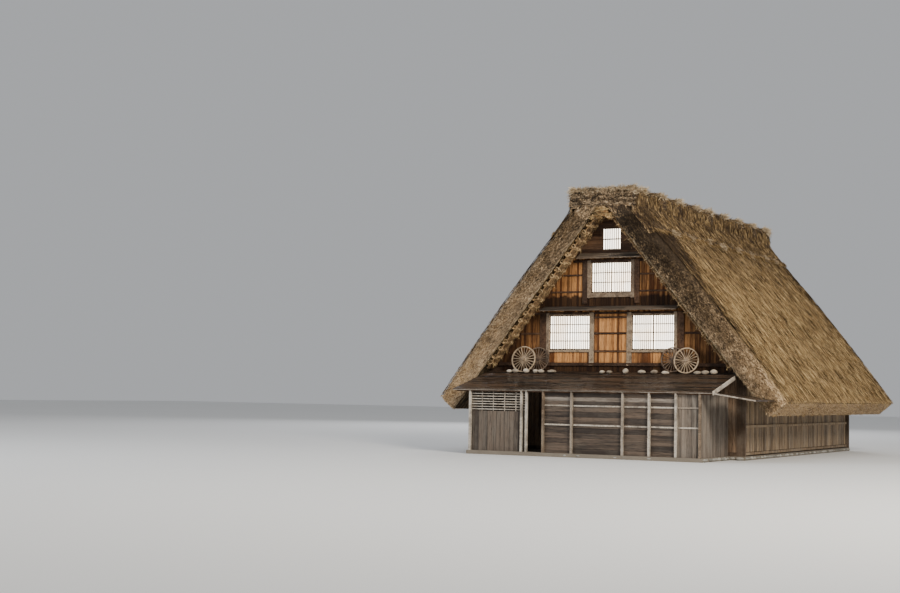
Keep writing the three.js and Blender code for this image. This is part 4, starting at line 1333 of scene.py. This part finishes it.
def leanRoof():
    shape = Shape()
    back = house["wallFront"] - house["frameDepth"] - 0.004
    length = (back - house["leanFront"]) * math.hypot(1.0, house["leanRise"])
    run = Vector((0.0, 1.0, house["leanRise"])).normalized()
    up = Vector((0.0, -house["leanRise"], 1.0)).normalized()
    tilt = (up + run * 0.075).normalized()
    start = Vector((0.0, house["leanFront"], house["leanFrontZ"]))
    for i in range(lean["courses"]):
        middle = start + run * (length * (i + 0.5) / lean["courses"]) - up * 0.030
        half = house["leanHalf"] - 0.01
        if middle.y > house["vergeFront"] - 0.17:
            half = min(half, innerHalf(middle.z + 0.08) - 0.03)
        cuts = [-half]
        while cuts[-1] < half:
            cuts.append(cuts[-1] + even(1.4, 3.0))
        cuts[-1] = half
        if len(cuts) > 2 and cuts[-1] - cuts[-2] < 0.5:
            cuts.pop(-2)
        for a, b in neighbours(cuts):
            drop = up * even(-0.004, 0.003)
            first = Vector((a + 0.003, middle.y, middle.z)) + drop
            second = Vector((b - 0.003, middle.y, middle.z)) + drop
            wide = length / lean["courses"] + lean["lap"]
            beam(shape, first, second, wide, lean["thick"], tilt, 0.004, 9)
    makePiece("leanRoofBoards", shape, wetBoards, ("lean_to_roof",), bevel=0.003)
    edge = Shape()
    y = house["leanFront"]
    slab(edge, -house["leanHalf"] + 0.01, house["leanHalf"] - 0.01, y + 0.002, y + 0.030,
         house["leanFrontZ"] - 0.060, house["leanFrontZ"] - 0.006, 0.002, 14)
    makePiece("leanFrontEdge", edge, porchTimber, bevel=0.003)


def stoneShape(shape, middle, radius, squash):
    ball = bmesh.new()
    bmesh.ops.create_icosphere(ball, subdivisions=3, radius=1.0)
    shift = Vector(even(-50, 50, 3))
    spin = Matrix.Rotation(even(0, 6.28), 3, "Z")
    stretch = Vector((even(0.85, 1.25), even(0.75, 1.0), squash))
    points = []
    for vertex in ball.verts:
        lump = 1.0 + 0.22 * noise.noise(vertex.co * 0.9 + shift) + 0.07 * noise.noise(vertex.co * 2.7 + shift)
        spot = vertex.co * lump
        spot = Vector((spot.x * stretch.x, spot.y * stretch.y, spot.z * stretch.z))
        points.append(Vector(middle) + spin @ spot * radius)
    shape.add(points, [tuple(v.index for v in f.verts) for f in ball.faces])
    ball.free()


def leanStones():
    shape = Shape()
    for x, radius in lean["stones"]:
        y = lean["stoneY"] + even(-0.04, 0.03)
        squash = even(0.5, 0.7) if radius < lean["flatStones"] else lean["flatSquash"]
        stoneShape(shape, (x, y, leanZ(y) + radius * squash * 0.80), radius, squash)
    makePiece("roofStones", shape, roofStone, smooth=True)


def leanTrim():
    shape = Shape()
    x, y1 = house["leanHalf"] + 0.0205, house["vergeFront"] - 0.050
    start = Vector((x, house["leanFront"] + 0.002, house["leanFrontZ"] - 0.052))
    stop = Vector((x, y1, leanZ(y1) - 0.052))
    beam(shape, start, stop, *lean["rake"], (0, 0, 1), 0.002, 6, 0.9)
    makePiece("leanRakeBoard", shape, porchTimber, ("lean_to_rake_board",), bevel=0.004)
    wing, sizes = Shape(), lean["wing"]
    x0, x1 = house["leanHalf"] + 0.044, sizes["right"]
    top, drop, boards = house["leanFrontZ"] - 0.032, sizes["drop"], sizes["boards"]
    y0, y1 = house["leanFront"] + 0.022, house["vergeFront"] - 0.022
    for i in range(boards):
        a, b = y0 + (y1 - y0) * i / boards, y0 + (y1 - y0) * (i + 1) / boards
        lift = 0.004 * (i % 2)
        start = Vector((x0, (a + b) / 2, top - 0.03 + lift))
        stop = Vector((x1, (a + b) / 2, top - drop - 0.03 + lift))
        beam(wing, start, stop, (y1 - y0) / boards - 0.004, sizes["thick"], (0.15, 0, 1), 0.004, 5)
    makePiece("leanWingBoards", wing, wetBoards, ("lean_to_wing",), bevel=0.004)
    edge = Shape()
    start, stop = (x0 + 0.01, y0 + 0.012, top - 0.030), (x1 - 0.005, y0 + 0.012, top - drop - 0.030)
    beam(edge, start, stop, *sizes["edge"], (0, 0, 1), 0.002, 5)
    makePiece("leanWingEdge", edge, porchTimber, bevel=0.003)


leanRoof()
leanStones()
leanTrim()
print("lean-to roof ready")


# porch: posts and beam, plank panels, lattice screen
porch = {
    "front": -9.74, "depth": 0.12, "left": -4.77, "right": 4.99, "top": 2.56, "base": 0.15,
    "beamHigh": 0.07, "beam": (-5.315, 5.405), "postHalf": 0.040,
    "doorLeft": -2.153, "doorRight": -1.510,
    "posts": (-4.705, -2.411, -2.195, -1.468, -0.255, 1.865, 2.942, 4.003, 4.942),
    "plankEdges": (2.56, 2.325, 2.165, 1.96, 1.76, 1.55, 1.35, 1.14, 0.94, 0.74, 0.54, 0.345, 0.15),
    "paleRow": 1, "rails": (1.99, 1.25),
    "screenBoards": 13, "boardTop": 1.735, "slats": 8, "uprights": 6, "slatHalf": 0.018,
    "endBoards": 14, "paleBoards": 5,
}


def porchFrame():
    posts, top, dark = Shape(), Shape(), Shape()
    y0, y1 = porch["front"] + 0.002, porch["front"] + porch["depth"] - 0.002
    low, high = porch["top"] - porch["beamHigh"], leanZ(porch["front"]) - 0.066
    slab(top, *porch["beam"], y0, y1, low, high, 0.005, 14)
    half = porch["postHalf"]
    for x in porch["posts"]:
        # the post beside the doorway and the one at the corner are dark
        shape = dark if x in (porch["posts"][3], porch["posts"][-1]) else posts
        slab(shape, x - half, x + half, y0 - 0.008, y1 - 0.004, porch["base"], high - 0.01, 0.004, 8)
    makePiece("porchPosts", posts, porchTimber, ("lean_to_frame",), bevel=0.006)
    makePiece("porchDarkPosts", dark, hewnTimber, bevel=0.006)
    # the beam takes the dark timber finish: painted shade under the edge of the lean-to roof
    makePiece("porchBeam", top, darkTimber, bevel=0.006)


def porchPanels():
    planks, level, pale, rails, leftEnd = Shape(), Shape(), Shape(), Shape(), Shape()
    y0 = porch["front"] + porch["depth"] + 0.002
    base, top, heights = porch["base"], porch["top"], porch["plankEdges"]
    edges = [p for p in porch["posts"] if p > porch["doorRight"] - 0.1]
    edges[0], edges[-1] = porch["doorRight"] + 0.005, porch["right"]
    for a, b in neighbours(edges):
        if b == edges[-1]:
            # the last panel is pale, with upright boards
            cuts = np.linspace(a + 0.003, b - 0.003, porch["paleBoards"] + 1)
            for c, d in neighbours(cuts):
                slab(pale, c + 0.002, d - 0.002, y0, y0 + 0.030, base, top, 0.002, 6)
        else:
            for row, (z1, z0) in enumerate(neighbours(heights)):
                shape = level if row == porch["paleRow"] else planks
                near = y0 + even(0.0, 0.006)
                slab(shape, a + 0.003, b - 0.003, near, near + 0.026, z0 + 0.003, z1 - 0.003, 0.002, 6)
        for z in porch["rails"]:
            slab(rails, a + 0.06, b - 0.06, y0 - 0.03, y0 - 0.002, z - 0.03, z + 0.03, 0.002, 5)
    back = house["wallFront"] - house["frameDepth"] - 0.004
    for x, way, start in ((porch["right"], -1, y0 + 0.04), (porch["left"], 1, y0 + 0.06)):
        cuts = np.linspace(start, back, porch["endBoards"] + 1)
        for a, b in neighbours(cuts):
            push = even(0.0, 0.006)
            near, far = x + way * (0.002 + push), x + way * (0.030 + push)
            slab(pale if way < 0 else leftEnd, near, far, a + 0.003, b - 0.003, base, top, 0.003, 6)
    makePiece("porchPanels", planks, plankWood, ("porch_panels",), bevel=0.003)
    makePiece("porchPalePlanks", level, palePlanks, bevel=0.003)
    makePiece("porchPalePanel", pale, paleBoards, bevel=0.003)
    makePiece("porchRails", rails, porchTimber, bevel=0.003)
    makePiece("porchLeftBoards", leftEnd, paleBoards, ("porch_left_end",), bevel=0.003)


def latticeScreen():
    boards, slats = Shape(), Shape()
    y0 = porch["front"] + porch["depth"] + 0.002
    x0, x1 = porch["left"] + 0.03, porch["doorLeft"] - 0.04
    low, top = porch["boardTop"], porch["top"]
    cuts = np.linspace(x0, x1, porch["screenBoards"] + 1)
    for a, b in neighbours(cuts):
        near = y0 + even(0.0, 0.008)
        slab(boards, a + 0.004, b - 0.004, near, near + 0.03, porch["base"], low - 0.01, 0.003, 6)
    half = porch["slatHalf"]
    for i in range(porch["slats"]):
        z = low + (top - low) * (i + 0.5) / porch["slats"] + bell(0, 0.003)
        slab(slats, x0, x1, y0, y0 + 0.022, z - half, z + half, 0.003, 12)
    for i in range(porch["uprights"]):
        x = x0 + half + (x1 - x0 - 2 * half) * i / (porch["uprights"] - 1)
        slab(slats, x - half * 0.8, x + half * 0.8, y0 + 0.024, y0 + 0.046, low - 0.02, top, 0.002, 4)
    makePiece("latticeScreen", slats, porchTimber, ("lattice_screen",), bevel=0.002)
    makePiece("latticeBoards", boards, uprightPlanks, bevel=0.002)


porchFrame()
porchPanels()
latticeScreen()
print("porch ready")


# side walls: upright boards over sills, and footing stones all round
walls = {"boards": 75, "heights": (0.30, 3.16), "rails": (0.24, 1.30, 2.30, 3.08),
         "stoneX": 5.56, "stoneFront": -9.60, "stoneZ": 0.075, "stoneRadius": (0.12, 0.17),
         "stoneSquash": 0.42, "stoneStep": (0.24, 0.40)}


def sideBoarding(side):
    shape = Shape()
    x = side * house["sideX"]
    y0, y1 = house["wallFront"] + 0.13, house["wallBack"] - 0.13
    cuts = np.linspace(y0, y1, walls["boards"] + 1)
    for a, b in neighbours(cuts):
        push = even(0.0, 0.012)
        near, far = x + side * (0.002 + push), x + side * (0.026 + push)
        slab(shape, near, far, a + 0.006, b - 0.006, *walls["heights"], 0.003, 6)
    for z in walls["rails"]:
        slab(shape, x + side * 0.040, x + side * 0.095, y0, y1, z - 0.05, z + 0.05, 0.004, 30)
    makePiece(sideNames[side] + "SideBoards", shape, sideBoards, bevel=0.003)


def groundWallBoards():
    shape = Shape()
    for end, spans in (("front", [(-5.3, -2.16), (-1.27, 5.3)]), ("back", [(-5.3, 5.3)])):
        for span in spans:
            boarding(shape, span, walls["heights"], end, 0.2, margin=0.0)
    makePiece("groundWallBoards", shape, wallPlanks, bevel=0.003)


def footingStones():
    shape = Shape()
    left, right, wide = porch["left"], porch["right"], walls["stoneX"]
    front, middle, back = walls["stoneFront"], house["wallFront"], house["wallBack"] + 0.02
    rows = [((left, front), (right, front)), ((left, front), (left, middle)),
            ((right, front), (right, middle)), ((-wide, middle), (-wide, back)),
            ((wide, middle), (wide, back)), ((-wide, back), (wide, back)),
            ((-wide, middle), (left, middle)), ((right, middle), (wide, middle))]
    for start, stop in rows:
        start, stop = Vector((*start, walls["stoneZ"])), Vector((*stop, walls["stoneZ"]))
        along = 0.12
        while along < (stop - start).length:
            radius = even(*walls["stoneRadius"])
            stoneShape(shape, start + (stop - start).normalized() * along, radius, walls["stoneSquash"])
            along += even(*walls["stoneStep"])
    shape.points = [(x, y, max(0.001, z)) for x, y, z in shape.points]
    makePiece("footingStones", shape, footStone, smooth=True)


for side in (-1, 1):
    sideBoarding(side)
groundWallBoards()
footingStones()
dress(["left_side_wall", "right_side_wall"], darkTimber)
print("side walls ready")


# cart wheels that lean on the gable
wheels = {
    "rim": 0.044, "deep": 0.060, "spokes": 21, "felloes": 7, "felloeSteps": 8, "gapAngle": 0.006,
    "spoke": ((0.05, 0.018), (0.15, 0.016), (0.30, 0.016)), "spokeEnd": 0.018,     # radii along a spoke
    "hub": ((0.050, -0.075), (0.062, -0.066), (0.066, -0.045), (0.074, -0.028), (0.075, 0.0), (0.074, 0.028),
            (0.066, 0.045), (0.062, 0.066), (0.050, 0.075)),
    # X, radius, lean in radians and distance from the gable frame
    "places": {"left_front": (-3.74, 0.545, 0.16, 0.16), "left_rear": (-3.16, 0.500, 0.12, 0.0),
               "right_front": (3.36, 0.515, 0.16, 0.16), "right_rear": (2.74, 0.500, 0.12, 0.0)},
}


def cartWheel(label, x, radius, leanBy, clear):
    shape = Shape()
    rim, deep, felloes, spokes = wheels["rim"], wheels["deep"], wheels["felloes"], wheels["spokes"]
    steps, gap = wheels["felloeSteps"], wheels["gapAngle"]
    for i in range(felloes):
        start, stop = 2 * math.pi * i / felloes + gap, 2 * math.pi * (i + 1) / felloes - gap
        points, faces = [], []
        for angle in np.linspace(start, stop, steps + 1):
            for r, y in ((radius - rim, -1), (radius, -1), (radius, 1), (radius - rim, 1)):
                points.append((math.cos(angle) * r, y * deep / 2 + bell(0, 0.001), math.sin(angle) * r))
        for k in range(steps):
            for j in range(4):
                a, b = 4 * k + j, 4 * k + (j + 1) % 4
                faces.append((a, b, b + 4, a + 4))
        faces += [(3, 2, 1, 0), tuple(4 * steps + j for j in range(4))]
        shape.add(points, faces)
    tube(shape, [(0, y, 0) for _, y in wheels["hub"]], [r for r, _ in wheels["hub"]], 20, 0.0)
    for i in range(spokes):
        angle = (i + 0.25) * 2 * math.pi / spokes
        run = Vector((math.cos(angle), 0.0, math.sin(angle)))
        spoke = (*wheels["spoke"], (radius - rim + 0.012, wheels["spokeEnd"]))
        path = [run * r + Vector((0, bell(0, 0.001), 0)) for r, _ in spoke]
        tube(shape, path, [thick for _, thick in spoke], 7)
    turn = Matrix.Rotation(-leanBy, 3, "X")
    points = [turn @ Vector(p) for p in shape.points]
    face = house["wallFront"] - house["frameDepth"] - clear
    back = max(p.y for p in points)
    points = [p + Vector((x, face - 0.001 - back, 0.0)) for p in points]
    rest = min(p.z - leanZ(p.y) for p in points)
    shape.points = [(p.x, p.y, p.z + 0.001 - rest) for p in points]
    first, second = label.split("_")
    name = first + second.capitalize() + "Wheel"
    # the rear wheels take the darker copy: painted shade
    finish = wheelWood if second == "front" else shadedWheelWood
    makePiece(name, shape, finish, (label + "_wheel",), bevel=0.004)


for label, place in wheels["places"].items():
    cartWheel(label, *place)
print("wheels ready")


# floor and light
studio = {
    "floor": 160.0,
    "key": {"spot": (34.0, -34.0, 26.0), "aim": (0.0, 0.0, 5.0), "size": 14.0, "power": 24000.0,
            "colour": (1.0, 0.93, 0.82)},
    "fill": {"spot": (-30.0, -44.0, 22.0), "aim": (0.0, 0.0, 4.0), "size": 26.0, "power": 9000.0,
             "colour": (0.88, 0.93, 1.0)},
    "back": {"spot": (-24.0, 46.0, 24.0), "aim": (0.0, 0.0, 5.0), "size": 22.0, "power": 9000.0,
             "colour": (0.95, 0.96, 1.0)},
    "world": (0.80, 0.82, 0.85),
    "worldStrength": 0.55,
}


def stageFloor():
    f = Finish("studioFloor")
    tint = f.grain(f.place(), 0.05, 2.0)
    finish = f.shade({"Base Color": f.mix(tint, (0.74, 0.74, 0.73), (0.78, 0.78, 0.77)), "Roughness": 0.9})
    half = studio["floor"]
    mesh = bpy.data.meshes.new("studioFloor")
    corners = [(-half, -half, 0), (half, -half, 0), (half, half, 0), (-half, half, 0)]
    mesh.from_pydata(corners, [], [(0, 1, 2, 3)])
    mesh.materials.append(finish)
    floor = bpy.data.objects.new("studioFloor", mesh)
    floor.location.z = -0.002
    bpy.context.scene.collection.objects.link(floor)


def areaLight(name):
    setup = studio[name]
    data = bpy.data.lights.new(name + "Light", "AREA")
    data.shape = "DISK"
    data.size = setup["size"]
    data.energy = setup["power"]
    data.color = setup["colour"]
    light = bpy.data.objects.new(name + "Light", data)
    light.location = setup["spot"]
    light.rotation_euler = (Vector(setup["aim"]) - Vector(setup["spot"])).to_track_quat("-Z", "Y").to_euler()
    bpy.context.scene.collection.objects.link(light)


def skyLight():
    world = bpy.data.worlds.new("studioSky")
    world.use_nodes = True
    back = world.node_tree.nodes["Background"]
    back.inputs[0].default_value = (*studio["world"], 1.0)
    back.inputs[1].default_value = studio["worldStrength"]
    bpy.context.scene.world = world


stageFloor()
for name in ("key", "fill", "back"):
    areaLight(name)
skyLight()

print("scene ready")
